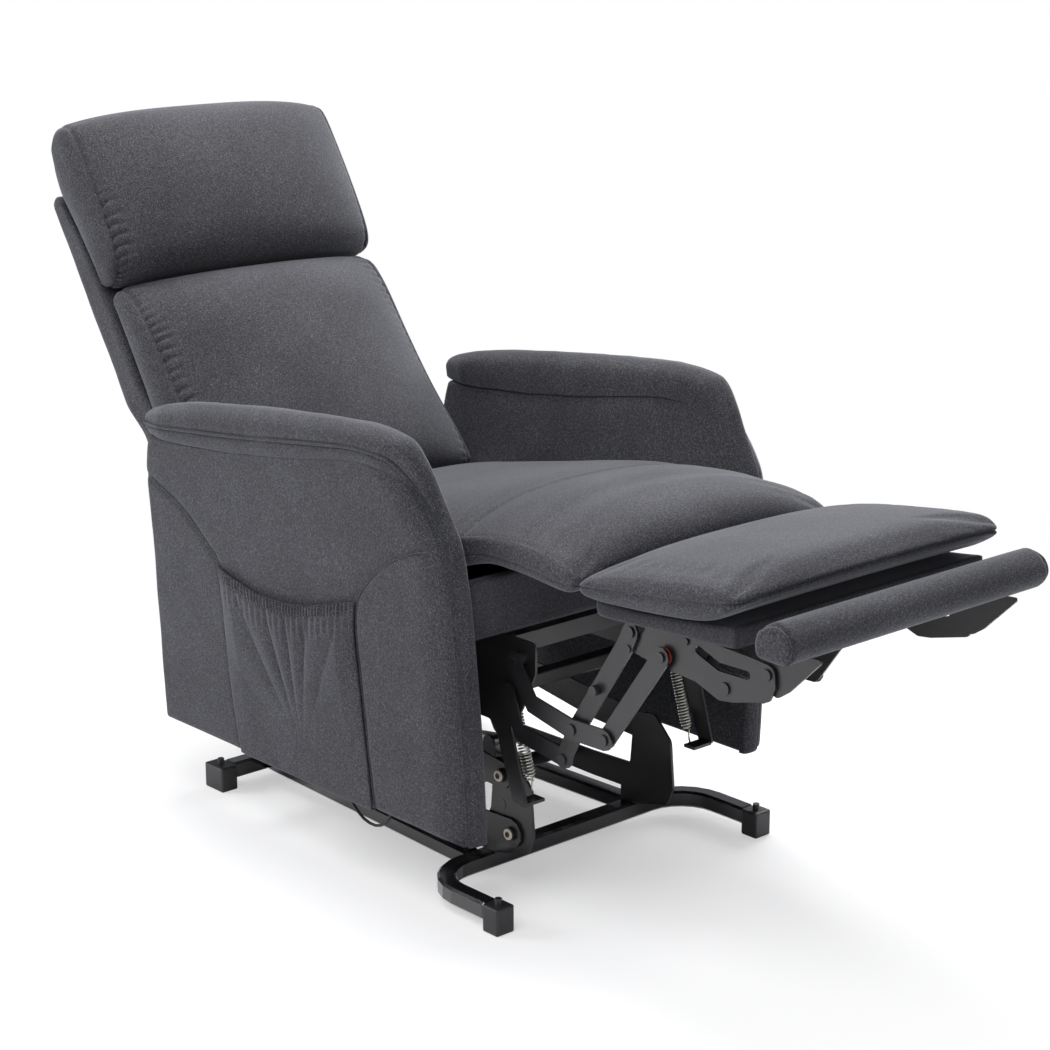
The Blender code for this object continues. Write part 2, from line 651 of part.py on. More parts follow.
def build_back_cushion(m):
    rear = [(-0.160, 0.1085), (-0.045, 0.053), (0.284, 0.053)]
    middle = rear + [(0.288, 0.075), (0.275, 0.145), (0.220, 0.165), (0.150, 0.188), (0.000, 0.212),
                     (-0.120, 0.228), (-0.188, 0.212), (-0.186, 0.150)]
    edge = rear + [(0.288, 0.075), (0.275, 0.100), (0.210, 0.112), (0.100, 0.122), (0.000, 0.135),
                   (-0.120, 0.160), (-0.180, 0.165), (-0.180, 0.140)]
    radii = [0.0, 0.02, 0.006, 0.010, 0.015, 0.05, 0.05, 0.05, 0.04, 0.015, 0.010]
    crowned("back_cushion", round_corners(on_back(middle), radii, 3), round_corners(on_back(edge), radii, 3),
            CUSHION_HALF, m["fabric"], 0.006)


def build_headrest(m):
    rear = [(0.617, 0.105), (0.612, 0.070), (0.580, 0.045), (0.530, 0.028), (0.488, 0.0230), (0.420, 0.0350),
            (0.292, 0.053)]
    middle = rear + [(0.292, 0.135), (0.330, 0.160), (0.420, 0.176), (0.520, 0.172), (0.590, 0.145)]
    edge = [(0.598, 0.085), (0.598, 0.065), (0.575, 0.045)] + rear[3:] + [
        (0.292, 0.085), (0.330, 0.107), (0.420, 0.114), (0.520, 0.115), (0.575, 0.105)]
    radii = [0.012, 0.012, 0.015, 0.02, 0.01, 0.0, 0.006, 0.012, 0.02, 0.04, 0.04, 0.02]
    crowned("headrest_cushion", round_corners(on_back(middle), radii, 3),
            round_corners(on_back(edge), radii, 3), HEAD_HALF, m["fabric"], 0.006)


def build_back_bracket(side, s, m):
    """Steel strap on the side of the back shell with the pivot stub that turns at the mech plate."""
    low_x = SHELL_LOW_HALF + GAP
    rise = [(*BACK_PIVOT, 0.017), (*back_point(-0.055, 0.034), 0.015), (*back_point(0.050, 0.034), 0.013)]
    ends = sorted((s * low_x, s * (low_x + LINK_T)))
    strap = extrude_yz("back_bracket_" + side, bar_outline(rise), ends[0], ends[1], m["steel"])
    stub = sorted((s * (LAYER_MECH + LINK_T + GAP), s * (low_x + 0.001)))
    combine(strap, [pin(*BACK_PIVOT, stub[0], stub[1], 0.010, m["steel"])])


def build_dust_cover(m):
    """Black lining that bulges out under the back shell."""
    outline = round_corners(
        [(0.568, 0.4800), (0.560, 0.4300), (0.600, 0.4200), (0.632, 0.4650), (0.632, 0.5180),
         (0.612, 0.5190), (0.596, 0.4970), (0.572, 0.5015)],
        [0.004, 0.02, 0.03, 0.03, 0.004, 0.0, 0.0, 0.0], 3)
    extrude_yz("dust_cover", outline, -0.270, 0.270, m["dust"], 0.006)


# ---------------------------------------------------------------- footrest
def build_footrest_links(side, s, m):
    rivet = 0.0090
    long_bar = [(*LONG_PIVOT, 0.015), (-0.330, 0.362, 0.016), (*CROSS, 0.0165), (*LONG_END, 0.0165)]
    link("long_link_" + side, long_bar, LAYER_LONG, s, m["steel"],
         [(*LONG_PIVOT, rivet, 0.003), (*CROSS, rivet, 0.003), (*LONG_END, rivet, 0.003)],
         [(*LONG_PIVOT, 0.009, LAYER_LONG - LAYER_MECH - LINK_T - GAP),
          (*CROSS, 0.009, LAYER_LONG - LAYER_ARM - LINK_T - GAP)])
    short_bar = [(*SHORT_PIVOT, 0.014), (-0.285, 0.300, 0.015), (*SHORT_END, 0.015)]
    link("short_link_" + side, short_bar, LAYER_PLATE, s, m["steel"], (),
         [(*SHORT_PIVOT, 0.009, LAYER_PLATE - LAYER_MECH - LINK_T - GAP)])
    rear_bar = [(*SHORT_END, 0.0145), (*CROSS, 0.0150), (-0.521, 0.499, 0.0155), (*REAR_TOP, 0.0155)]
    link("rear_riser_link_" + side, rear_bar, LAYER_ARM, s, m["steel"],
         [(*REAR_TOP, rivet, 0.003), (-0.528, 0.4966, 0.006, 0.002), (*SHORT_END, rivet, 0.003),
          (-0.4650, 0.4180, 0.0080, 0.011)])
    front_bar = [(*LONG_END, 0.0150), (*FRONT_TOP, 0.0155)]
    link("front_riser_link_" + side, front_bar, LAYER_FRONT_ARM, s, m["steel"],
         [(*FRONT_TOP, 0.008, 0.003)],
         [(*FRONT_TOP, 0.006, LAYER_FRONT_ARM - LAYER_PLATE - LINK_T - GAP)])


def build_ottoman_plate(side, s, m):
    """Plate under the ottoman board: two rear pivots, a slotted arm and the flipper pivot."""
    outline = round_corners(
        [(-0.516, 0.5400), (-0.516, 0.4950), (-0.575, 0.4850), (-0.660, 0.4790), (-0.705, 0.4630),
         (-0.730, 0.4660), (-0.800, 0.4840), (-0.8110, 0.5070), (-0.8080, 0.5360), (-0.770, 0.5400),
         (-0.700, 0.5430), (-0.660, 0.5560), (-0.560, 0.5500), (-0.556, 0.5260), (-0.536, 0.5240)],
        [0.010, 0.008, 0.02, 0.02, 0.014, 0.014, 0.010, 0.010, 0.014, 0.02, 0.02, 0.01, 0.004, 0.006,
         0.006], 3)
    ends = sorted((s * LAYER_PLATE, s * (LAYER_PLATE + LINK_T)))
    plate = extrude_yz("ottoman_plate_" + side, outline, ends[0], ends[1], m["steel"])
    slot = bar_outline([(-0.664, 0.5270, 0.0065), (-0.705, 0.5120, 0.0065), (-0.758, 0.5130, 0.0065)])
    cut = extrude_yz("slot", slot, ends[0] - 0.002, ends[1] + 0.002, m["steel"])
    combine(plate, [cut], "DIFFERENCE")
    outer = sorted((s * (LAYER_PLATE + LINK_T - 0.001), s * (LAYER_PLATE + LINK_T + 0.003)))
    heads = [pin(y, z, outer[0], outer[1], r, m["steel"])
             for y, z, r in ((-0.7170, 0.4830, 0.0095), (*FLIPPER_PIVOT, 0.0085), (-0.640, 0.534, 0.006))]
    combine(plate, heads)


def build_flipper(side, s, m):
    """Bracket that carries the small front bolster and turns on the ottoman plate."""
    outline = round_corners(
        [(-0.783, 0.5380), (-0.783, 0.5080), (-0.809, 0.4900), (-0.831, 0.5050), (-0.886, 0.5590),
         (-0.886, 0.5650), (-0.838, 0.5620), (-0.812, 0.5440)],
        [0.010, 0.010, 0.010, 0.010, 0.003, 0.003, 0.010, 0.010], 3)
    ends = sorted((s * LAYER_FLIPPER, s * (LAYER_FLIPPER + LINK_T)))
    extrude_yz("flipper_bracket_" + side, outline, ends[0], ends[1], m["steel"])


def build_ottoman(m):
    board = [(-0.505, 0.5590), (-0.525, 0.5510), (-0.768, 0.5640), (-0.782, 0.5720), (-0.782, 0.5990),
             (-0.740, 0.5930), (-0.600, 0.5775), (-0.505, 0.5755)]
    extrude_yz("ottoman_board", round_corners(board, 0.004, 2), -0.270, 0.270, m["fabric"], 0.003)
    under = [(-0.4860, 0.5800), (-0.5600, 0.5785), (-0.7200, 0.5945), (-0.8020, 0.6280)]
    middle = under + [(-0.8000, 0.6560), (-0.7450, 0.6700), (-0.6000, 0.6590), (-0.5200, 0.6370),
                      (-0.4830, 0.6060)]
    edge = [(-0.4860, 0.5800), (-0.5600, 0.5785), (-0.7200, 0.5985), (-0.7850, 0.6240), (-0.7850, 0.6400),
            (-0.7400, 0.6510), (-0.6000, 0.6300), (-0.5200, 0.6130), (-0.4850, 0.5980)]
    radii = [0.006, 0.03, 0.03, 0.008, 0.012, 0.03, 0.04, 0.03, 0.010]
    crowned("ottoman_pad", round_corners(middle, radii, 3), round_corners(edge, radii, 3), 0.296,
            m["fabric"], 0.005)
    roll = [(-0.824, 0.5680), (-0.822, 0.6040), (-0.846, 0.6240), (-0.875, 0.6220), (-0.9014, 0.6020),
            (-0.9014, 0.5800), (-0.884, 0.5660)]
    extrude_yz("footrest_bolster", round_corners(roll, [0.008, 0.015, 0.015, 0.02, 0.015, 0.015, 0.004], 3),
               -0.290, 0.290, m["fabric"], 0.008)


def build_footrest(m):
    for side, s in SIDES:
        build_footrest_links(side, s, m)
        build_ottoman_plate(side, s, m)
        build_flipper(side, s, m)
    build_ottoman(m)


def main():
    clear_scene()
    m = make_materials()
    build_base(m)
    build_lift(m)
    build_actuator(m)
    build_frame(m)
    build_arms(m)
    build_back(m)
    build_footrest(m)


main()
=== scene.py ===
"""Looks of the lift recliner chair: upholstery, metal finishes, floor, lights and camera."""

import math

import bmesh
import bpy
import numpy as np
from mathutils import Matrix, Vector, noise


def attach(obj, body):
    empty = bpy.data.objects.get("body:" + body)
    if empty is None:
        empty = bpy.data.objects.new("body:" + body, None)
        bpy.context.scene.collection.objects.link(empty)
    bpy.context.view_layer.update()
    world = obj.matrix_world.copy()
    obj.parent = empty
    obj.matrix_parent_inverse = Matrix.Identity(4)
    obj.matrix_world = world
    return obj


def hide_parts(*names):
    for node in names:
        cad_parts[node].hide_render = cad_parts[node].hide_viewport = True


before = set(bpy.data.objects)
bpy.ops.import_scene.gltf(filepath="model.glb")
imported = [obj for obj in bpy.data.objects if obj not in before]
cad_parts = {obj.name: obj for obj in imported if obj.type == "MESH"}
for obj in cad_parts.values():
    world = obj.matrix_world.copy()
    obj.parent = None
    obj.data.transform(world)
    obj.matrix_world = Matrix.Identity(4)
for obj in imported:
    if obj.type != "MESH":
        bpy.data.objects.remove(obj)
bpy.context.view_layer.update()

# ---------------- the chair's own measures (metres)
RECLINE = math.radians(32.3)
BACK_FOOT = (0.627, 0.588)
SIDES = (("left", 1.0), ("right", -1.0))
# arms: inner and outer |x| of a panel at its foot, outward lean per metre of height, height of the foot
PANEL_IN, PANEL_OUT = 0.2875, 0.335
PANEL_MID = (PANEL_IN + PANEL_OUT) / 2.0
ARM_LEAN, PANEL_LOW = 0.045, 0.1376
# how late a cushion's shape turns from its middle to its end profile
CROWN_POWER = 2.6
HEADREST_CROWN_POWER = 3.4
# a point this near a side of its plain box belongs to that side
ON_FACE = 0.004
# springs: |x|, upper and lower hook as (y, z)
SPRING_X, SPRING_TOP, SPRING_FOOT = 0.176, (-0.209, 0.3825), (-0.27, 0.1815)
# front pivots of the lift links: name, body, (y, z)
LIFT_PIVOTS = (("upper", "lift_upper", (-0.181, 0.186)), ("lower", "lift_lower", (-0.2044, 0.093)))
BUSH_FACE = 0.1702
# red washers of the footrest linkage: name, body, (y, z), radius, inner face |x|
WASHERS = (("front_top", "front_risers", (-0.5997, 0.502), 0.0128, 0.2207),
           ("short_end", "short_links", (-0.3895, 0.2864), 0.012, 0.2207))


def back_point(up, front):
    """(y, z) of a point measured up the back's rear face and forward from it."""
    sin_r, cos_r = math.sin(RECLINE), math.cos(RECLINE)
    foot_y, foot_z = BACK_FOOT
    return (foot_y + up * sin_r - front * cos_r, foot_z + up * cos_r + front * sin_r)


# ---------------- camera, floor and light
def look_from(location, target):
    """Rotation that points a camera or a lamp from location to target."""
    return (Vector(target) - Vector(location)).to_track_quat("-Z", "Y").to_euler()


def make_camera():
    """Camera at the photographed angle."""
    data = bpy.data.cameras.new("camera")
    data.lens, data.sensor_width = 83.56, 36.0
    data.clip_end = 60.0
    ob = bpy.data.objects.new("camera", data)
    ob.location = (-2.586, -2.926, 1.6015)
    ob.rotation_euler = look_from(ob.location, (-0.1758, -0.25, 0.6172))
    bpy.context.scene.collection.objects.link(ob)
    bpy.context.scene.camera = ob


def area_light(name, location, target, size, power):
    """A soft round lamp that looks at target."""
    data = bpy.data.lights.new(name, "AREA")
    data.shape, data.size, data.energy = "DISK", size, power
    ob = bpy.data.objects.new(name, data)
    ob.location = location
    ob.rotation_euler = look_from(location, target)
    bpy.context.scene.collection.objects.link(ob)


def mix_by(tree, factor, first, second, output):
    """Mix two shaders by a factor into an output socket."""
    both = tree.nodes.new("ShaderNodeMixShader")
    tree.links.new(factor, both.inputs["Fac"])
    tree.links.new(first, both.inputs[1])
    tree.links.new(second, both.inputs[2])
    tree.links.new(both.outputs[0], output)


def make_world():
    """Soft bluish surroundings that the camera sees as white."""
    world = bpy.data.worlds.new("studio")
    world.use_nodes = True
    bpy.context.scene.world = world
    tree = world.node_tree
    plain = tree.nodes["Background"]
    plain.inputs["Color"].default_value = (0.9, 0.92, 1.0, 1.0)
    plain.inputs["Strength"].default_value = 0.27
    white = tree.nodes.new("ShaderNodeBackground")
    white.inputs["Color"].default_value = (1.0, 1.0, 1.0, 1.0)
    white.inputs["Strength"].default_value = 1.0
    path = tree.nodes.new("ShaderNodeLightPath")
    seen = tree.nodes.new("ShaderNodeMath")
    seen.operation = "MAXIMUM"
    tree.links.new(path.outputs["Is Camera Ray"], seen.inputs[0])
    tree.links.new(path.outputs["Is Transmission Ray"], seen.inputs[1])
    mix_by(tree, seen.outputs[0], plain.outputs[0], white.outputs[0],
           tree.nodes["World Output"].inputs["Surface"])


def make_floor():
    """Pale round floor: it keeps the chair's shadow and fades to white for the camera further out."""
    bm = bmesh.new()
    bmesh.ops.create_circle(bm, cap_ends=True, segments=96, radius=14.0)
    mesh = bpy.data.meshes.new("floor")
    bm.to_mesh(mesh)
    bm.free()
    floor = bpy.data.objects.new("floor", mesh)
    floor.location.z = -0.0005
    bpy.context.scene.collection.objects.link(floor)
    mat = bpy.data.materials.new("pale_floor")
    mat.use_nodes = True
    tree = mat.node_tree
    shader = tree.nodes["Principled BSDF"]
    shader.inputs["Base Color"].default_value = (0.93, 0.93, 0.94, 1.0)
    shader.inputs["Roughness"].default_value = 0.75
    place = tree.nodes.new("ShaderNodeTexCoord")
    reach = tree.nodes.new("ShaderNodeVectorMath")
    reach.operation = "LENGTH"
    tree.links.new(place.outputs["Object"], reach.inputs[0])
    fade = tree.nodes.new("ShaderNodeMapRange")
    fade.interpolation_type = "SMOOTHSTEP"
    fade.inputs["From Min"].default_value, fade.inputs["From Max"].default_value = 0.2, 1.6
    fade.inputs["To Min"].default_value = 0.45
    tree.links.new(reach.outputs["Value"], fade.inputs["Value"])
    path = tree.nodes.new("ShaderNodeLightPath")
    seen = tree.nodes.new("ShaderNodeMath")
    seen.operation = "MULTIPLY"
    tree.links.new(path.outputs["Is Camera Ray"], seen.inputs[0])
    tree.links.new(fade.outputs["Result"], seen.inputs[1])
    white = tree.nodes.new("ShaderNodeEmission")
    white.inputs["Color"].default_value = (1.0, 1.0, 1.0, 1.0)
    mix_by(tree, seen.outputs[0], shader.outputs[0], white.outputs[0],
           tree.nodes["Material Output"].inputs["Surface"])
    mesh.materials.append(mat)


def make_studio():
    """White surroundings, pale floor and soft lamps around the chair."""
    bpy.context.scene.view_settings.view_transform = "Standard"
    make_world()
    make_floor()
    area_light("key", (-2.2, -1.2, 3.6), (0.0, -0.1, 0.5), 2.6, 95.0)
    area_light("top", (0.6, 0.9, 3.8), (0.0, 0.0, 0.5), 2.2, 215.0)
    area_light("rim_rear", (-2.8, 2.6, 1.8), (0.0, 0.1, 0.6), 1.8, 85.0)
    area_light("rim_far", (3.0, 0.6, 1.6), (0.0, -0.1, 0.6), 1.8, 60.0)
    area_light("fill", (-1.2, -4.0, 1.2), (0.0, -0.3, 0.5), 2.4, 20.0)


# ---------------- materials
class Nodes:
    """Small helper that adds shader nodes and joins them."""

    def __init__(self, name):
        self.mat = bpy.data.materials.new(name)
        self.mat.use_nodes = True
        self.tree = self.mat.node_tree
        self.shader = self.tree.nodes["Principled BSDF"]
        self.coords = self.tree.nodes.new("ShaderNodeTexCoord")

    def add(self, kind, **values):
        node = self.tree.nodes.new(kind)
        for key, value in values.items():
            if hasattr(node, key):
                setattr(node, key, value)
            else:
                node.inputs[key].default_value = value
        return node

    def link(self, source, target):
        self.tree.links.new(source, target)

    def spot(self, scale, detail=2.0, stretch=(1.0, 1.0, 1.0), turn=(0.0, 0.0, 0.0), roughness=0.5):
        """Noise in object space, stretched along chosen axes."""
        place = self.add("ShaderNodeMapping")
        place.inputs["Scale"].default_value = stretch
        place.inputs["Rotation"].default_value = turn
        self.link(self.coords.outputs["Object"], place.inputs["Vector"])
        tex = self.add("ShaderNodeTexNoise", Scale=scale, Detail=detail, Roughness=roughness)
        self.link(place.outputs[0], tex.inputs["Vector"])
        return tex.outputs["Fac"]

    def math(self, operation, a, b=None, clamp=False):
        node = self.tree.nodes.new("ShaderNodeMath")
        node.operation, node.use_clamp = operation, clamp
        for slot, value in enumerate((a, b)):
            if value is None:
                continue
            if isinstance(value, (int, float)):
                node.inputs[slot].default_value = value
            else:
                self.link(value, node.inputs[slot])
        return node.outputs[0]

    def ramp(self, factor, stops):
        node = self.tree.nodes.new("ShaderNodeValToRGB")
        band = node.color_ramp
        while len(band.elements) < len(stops):
            band.elements.new(0.5)
        for element, (place, colour) in zip(band.elements, stops):
            element.position = place
            element.color = (*colour, 1.0)
        self.link(factor, node.inputs[0])
        return node.outputs[0]

    def bump(self, height, distance, strength=1.0, base=None):
        node = self.add("ShaderNodeBump", Strength=strength, Distance=distance)
        self.link(height, node.inputs["Height"])
        if base is not None:
            self.link(base, node.inputs["Normal"])
        return node.outputs[0]


def fabric_material(name, dark, mid, light):
    """Heather upholstery cloth: flecked yarn, fine diagonal rib, soft nap and slow colour drift."""
    n = Nodes(name)
    fleck = n.spot(720.0, 2.0, (1.0, 0.42, 0.42), (0.5, 0.0, 0.0), 0.6)
    weft = n.spot(760.0, 2.0, (0.34, 1.0, 1.0), (0.0, 0.0, 0.3), 0.6)
    fine = n.spot(1500.0, 1.0, (1.0, 0.7, 0.7), (0.0, 0.6, 0.0), 0.7)
    drift = n.spot(7.0, 3.0)
    yarns = n.math("ADD", n.math("MULTIPLY", fleck, 0.4), n.math("MULTIPLY", weft, 0.4))
    mixed = n.math("ADD", yarns, n.math("MULTIPLY", fine, 0.2))
    level = n.math("ADD", mixed, n.math("MULTIPLY", n.math("SUBTRACT", drift, 0.5), 0.1))
    colour = n.ramp(level, [(0.36, dark), (0.5, mid), (0.64, light)])
    n.link(colour, n.shader.inputs["Base Color"])
    n.shader.inputs["Roughness"].default_value = 0.88
    n.shader.inputs["Specular IOR Level"].default_value = 0.22
    n.shader.inputs["Sheen Weight"].default_value = 0.2
    n.shader.inputs["Sheen Roughness"].default_value = 0.45
    n.shader.inputs["Sheen Tint"].default_value = (0.75, 0.77, 0.86, 1.0)
    yarn = n.bump(mixed, 0.0008, 0.55)
    n.link(n.bump(n.spot(60.0, 3.0), 0.0009, 0.3, yarn), n.shader.inputs["Normal"])
    return n.mat


def metal_material(name, colour, metallic, rough, orange_peel, sheen=None):
    """Painted or plated metal with fine orange peel, uneven gloss and faint handling marks."""
    n = Nodes(name)
    grain = n.spot(650.0, 2.0)
    smear = n.spot(26.0, 4.0, (1.0, 0.4, 1.0))
    low, high = tuple(0.8 * c for c in colour), tuple(min(1.0, 1.25 * c) for c in colour)
    shade = n.ramp(smear, [(0.3, low), (0.7, high)])
    n.link(shade, n.shader.inputs["Base Color"])
    n.shader.inputs["Metallic"].default_value = metallic
    spread = n.math("MULTIPLY", n.math("SUBTRACT", smear, 0.5), 0.22)
    n.link(n.math("ADD", spread, rough, True), n.shader.inputs["Roughness"])
    if sheen:
        n.shader.inputs["Coat Weight"].default_value = sheen[0]
        n.shader.inputs["Coat Roughness"].default_value = sheen[1]
    n.link(n.bump(grain, orange_peel, 0.5), n.shader.inputs["Normal"])
    return n.mat


def plain_material(name, colour, rough, grain_scale, grain_depth, spread=0.15):
    """Moulded plastic, rubber or nylon: slight colour drift and a spark-eroded grain."""
    n = Nodes(name)
    drift = n.spot(30.0, 3.0)
    low = tuple((1.0 - spread) * c for c in colour)
    high = tuple(min(1.0, (1.0 + spread) * c) for c in colour)
    n.link(n.ramp(drift, [(0.3, low), (0.7, high)]), n.shader.inputs["Base Color"])
    n.shader.inputs["Roughness"].default_value = rough
    n.link(n.bump(n.spot(grain_scale, 2.0), grain_depth, 0.5), n.shader.inputs["Normal"])
    return n.mat


def lining_material(name):
    """Black non-woven lining: pressed dimples and a dull, slightly uneven surface."""
    n = Nodes(name)
    dimples = n.add("ShaderNodeTexVoronoi", Scale=420.0)
    n.link(n.coords.outputs["Object"], dimples.inputs["Vector"])
    n.link(n.ramp(n.spot(12.0, 3.0), [(0.3, (0.01, 0.01, 0.012)), (0.7, (0.022, 0.022, 0.026))]),
           n.shader.inputs["Base Color"])
    n.shader.inputs["Roughness"].default_value = 0.55
    n.link(n.bump(dimples.outputs["Distance"], 0.0006, 0.5), n.shader.inputs["Normal"])
    return n.mat


def make_materials():
    """Every finish of the chair by name."""
    return {
        "fabric": fabric_material("heather_fabric", (0.008, 0.008, 0.0095), (0.026, 0.026, 0.03),
                                  (0.09, 0.09, 0.099)),
        # darker copy of the same cloth: painted shade for the front apron and the ottoman board, which sit in
        # shadow under the seat and the pad
        "shaded": fabric_material("heather_fabric_painted_shade", (0.008, 0.008, 0.01), (0.02, 0.02, 0.024),
                                  (0.055, 0.055, 0.062)),
        "thread": plain_material("seam_thread", (0.055, 0.055, 0.064), 0.75, 900.0, 0.0004),
        "steel": metal_material("powder_black_steel", (0.0085, 0.0085, 0.0095), 0.05, 0.36, 0.0006),
        "tube": metal_material("gloss_black_tube", (0.006, 0.006, 0.007), 0.1, 0.16, 0.0002, (1.0, 0.06)),
        "zinc": metal_material("zinc_wire", (0.56, 0.54, 0.49), 1.0, 0.3, 0.0002),
        "plastic": plain_material("black_plastic", (0.013, 0.013, 0.014), 0.42, 700.0, 0.0003),
        "lining": lining_material("black_lining"),
        "nylon": plain_material("cream_nylon", (0.62, 0.56, 0.44), 0.4, 300.0, 0.0003),
        "washer": plain_material("red_washer", (0.52, 0.065, 0.03), 0.45, 500.0, 0.0003),
    }


# ---------------- mesh tools
def coords_of(mesh):
    """Points of a mesh as an array."""
    out = np.empty(len(mesh.vertices) * 3)
    mesh.vertices.foreach_get("co", out)
    return out.reshape(-1, 3)


def set_coords(mesh, co):
    mesh.vertices.foreach_set("co", np.asarray(co, dtype=np.float32).ravel())
    mesh.update()


def add_object(name, points, faces, mat):
    """A smooth-shaded mesh object in one material."""
    mesh = bpy.data.meshes.new(name)
    mesh.from_pydata([tuple(map(float, p)) for p in points], [], faces)
    mesh.materials.append(mat)
    mesh.shade_smooth()
    ob = bpy.data.objects.new(name, mesh)
    bpy.context.scene.collection.objects.link(ob)
    return ob


def block(size, radius, step):
    """A round-edged box of even quads: its points on the plain box, the same points rounded, faces."""
    counts = [max(3, round(s / step)) for s in size]
    index, points, faces = {}, [], []

    def vertex(key):
        if key not in index:
            index[key] = len(points)
            points.append(key)
        return index[key]

    for axis in range(3):
        u, v = (axis + 1) % 3, (axis + 2) % 3
        for side in (0, counts[axis]):
            for p in range(counts[u]):
                for q in range(counts[v]):
                    ring = []
                    for dp, dq in ((0, 0), (1, 0), (1, 1), (0, 1)):
                        key = [0, 0, 0]
                        key[axis], key[u], key[v] = side, p + dp, q + dq
                        ring.append(vertex(tuple(key)))
                    faces.append(ring if side else ring[::-1])
    size = np.array(size)
    flat = (np.array(points) / np.array(counts) - 0.5) * size
    inner = np.clip(flat, -(size / 2 - radius), size / 2 - radius)
    out = flat - inner
    length = np.linalg.norm(out, axis=1, keepdims=True)
    return flat, inner + radius * out / np.maximum(length, 1e-9), faces


def smooth_curve(points, count):
    """count points evenly spaced along a smooth curve through the given ones."""
    pts = np.array(points, dtype=float)
    padded = np.vstack([2 * pts[0] - pts[1], pts, 2 * pts[-1] - pts[-2]])
    dense = []
    for i in range(1, len(padded) - 2):
        p0, p1, p2, p3 = padded[i - 1:i + 3]
        for t in np.linspace(0.0, 1.0, 24, endpoint=False):
            dense.append(0.5 * (2 * p1 + (p2 - p0) * t + (2 * p0 - 5 * p1 + 4 * p2 - p3) * t ** 2
                                + (3 * p1 - p0 - 3 * p2 + p3) * t ** 3))
    dense = np.array(dense + [pts[-1]])
    walked = np.concatenate([[0.0], np.cumsum(np.linalg.norm(np.diff(dense, axis=0), axis=1))])
    places = np.linspace(0.0, walked[-1], count)
    return np.stack([np.interp(places, walked, dense[:, k]) for k in range(dense.shape[1])], axis=1)


def sample(curve, t):
    """Points of an evenly spaced curve at fractions t."""
    place = np.clip(t, 0.0, 1.0) * (len(curve) - 1)
    return np.stack([np.interp(place, np.arange(len(curve)), curve[:, k])
                     for k in range(curve.shape[1])], axis=1)


class Patch:
    """A four-sided patch in the (y, z) plane: s runs low to high side, t runs from first to last."""

    def __init__(self, start, end, low, high):
        """start and end are the sides at s = 0 and 1 (along t); low and high those at t = 0 and 1."""
        self.start, self.end = smooth_curve(start, 200), smooth_curve(end, 200)
        self.low, self.high = smooth_curve(low, 200), smooth_curve(high, 200)

    def __call__(self, s, t):
        c00, c01 = self.start[0], self.start[-1]
        c10, c11 = self.end[0], self.end[-1]
        s1, t1 = s[:, None], t[:, None]
        ruled = (1 - s1) * sample(self.start, t) + s1 * sample(self.end, t)
        cross = (1 - t1) * sample(self.low, s) + t1 * sample(self.high, s)
        corners = ((1 - s1) * ((1 - t1) * c00 + t1 * c01) + s1 * ((1 - t1) * c10 + t1 * c11))
        return ruled + cross - corners


def ease(x):
    """0 to 1 with a soft start and end."""
    return x * x * (3.0 - 2.0 * x)


def falloff(distance, width):
    """1 at a line, 0 beyond width, smooth between."""
    return ease(np.clip(1.0 - distance / width, 0.0, 1.0))


def fractal(points, scale, seed, octaves=3):
    """Seeded smooth noise at each point, about -1 to 1."""
    shift = Vector((17.3 * seed, 5.1 * seed, 9.7 * seed))
    return np.array([noise.fractal(Vector(p) * scale + shift, 1.0, 2.0, octaves) for p in points])


def normals_of(mesh):
    """Vertex normals of a mesh as an array."""
    out = np.empty(len(mesh.vertices) * 3)
    mesh.vertices.foreach_get("normal", out)
    return out.reshape(-1, 3)


def keep_flat(ob, flat):
    """Store each point's place on the plain box, so that seams can be found after subdivision."""
    layer = ob.data.attributes.new("flat", "FLOAT_VECTOR", "POINT")
    layer.data.foreach_set("vector", np.asarray(flat, dtype=np.float32).ravel())


def flat_of(ob):
    """Each point's place on the plain box."""
    out = np.empty(len(ob.data.vertices) * 3, dtype=np.float32)
    ob.data.attributes["flat"].data.foreach_get("vector", out)
    return out.reshape(-1, 3).astype(float)


def bake_modifiers(ob):
    """Turn an object's modifiers into its mesh."""
    graph = bpy.context.evaluated_depsgraph_get()
    mesh = bpy.data.meshes.new_from_object(ob.evaluated_get(graph))
    ob.modifiers.clear()
    ob.data = mesh
    ob.data.shade_smooth()


def subdivide(ob):
    """Refine and round a mesh once."""
    mod = ob.modifiers.new("round", "SUBSURF")
    mod.levels = mod.render_levels = 1
    bake_modifiers(ob)


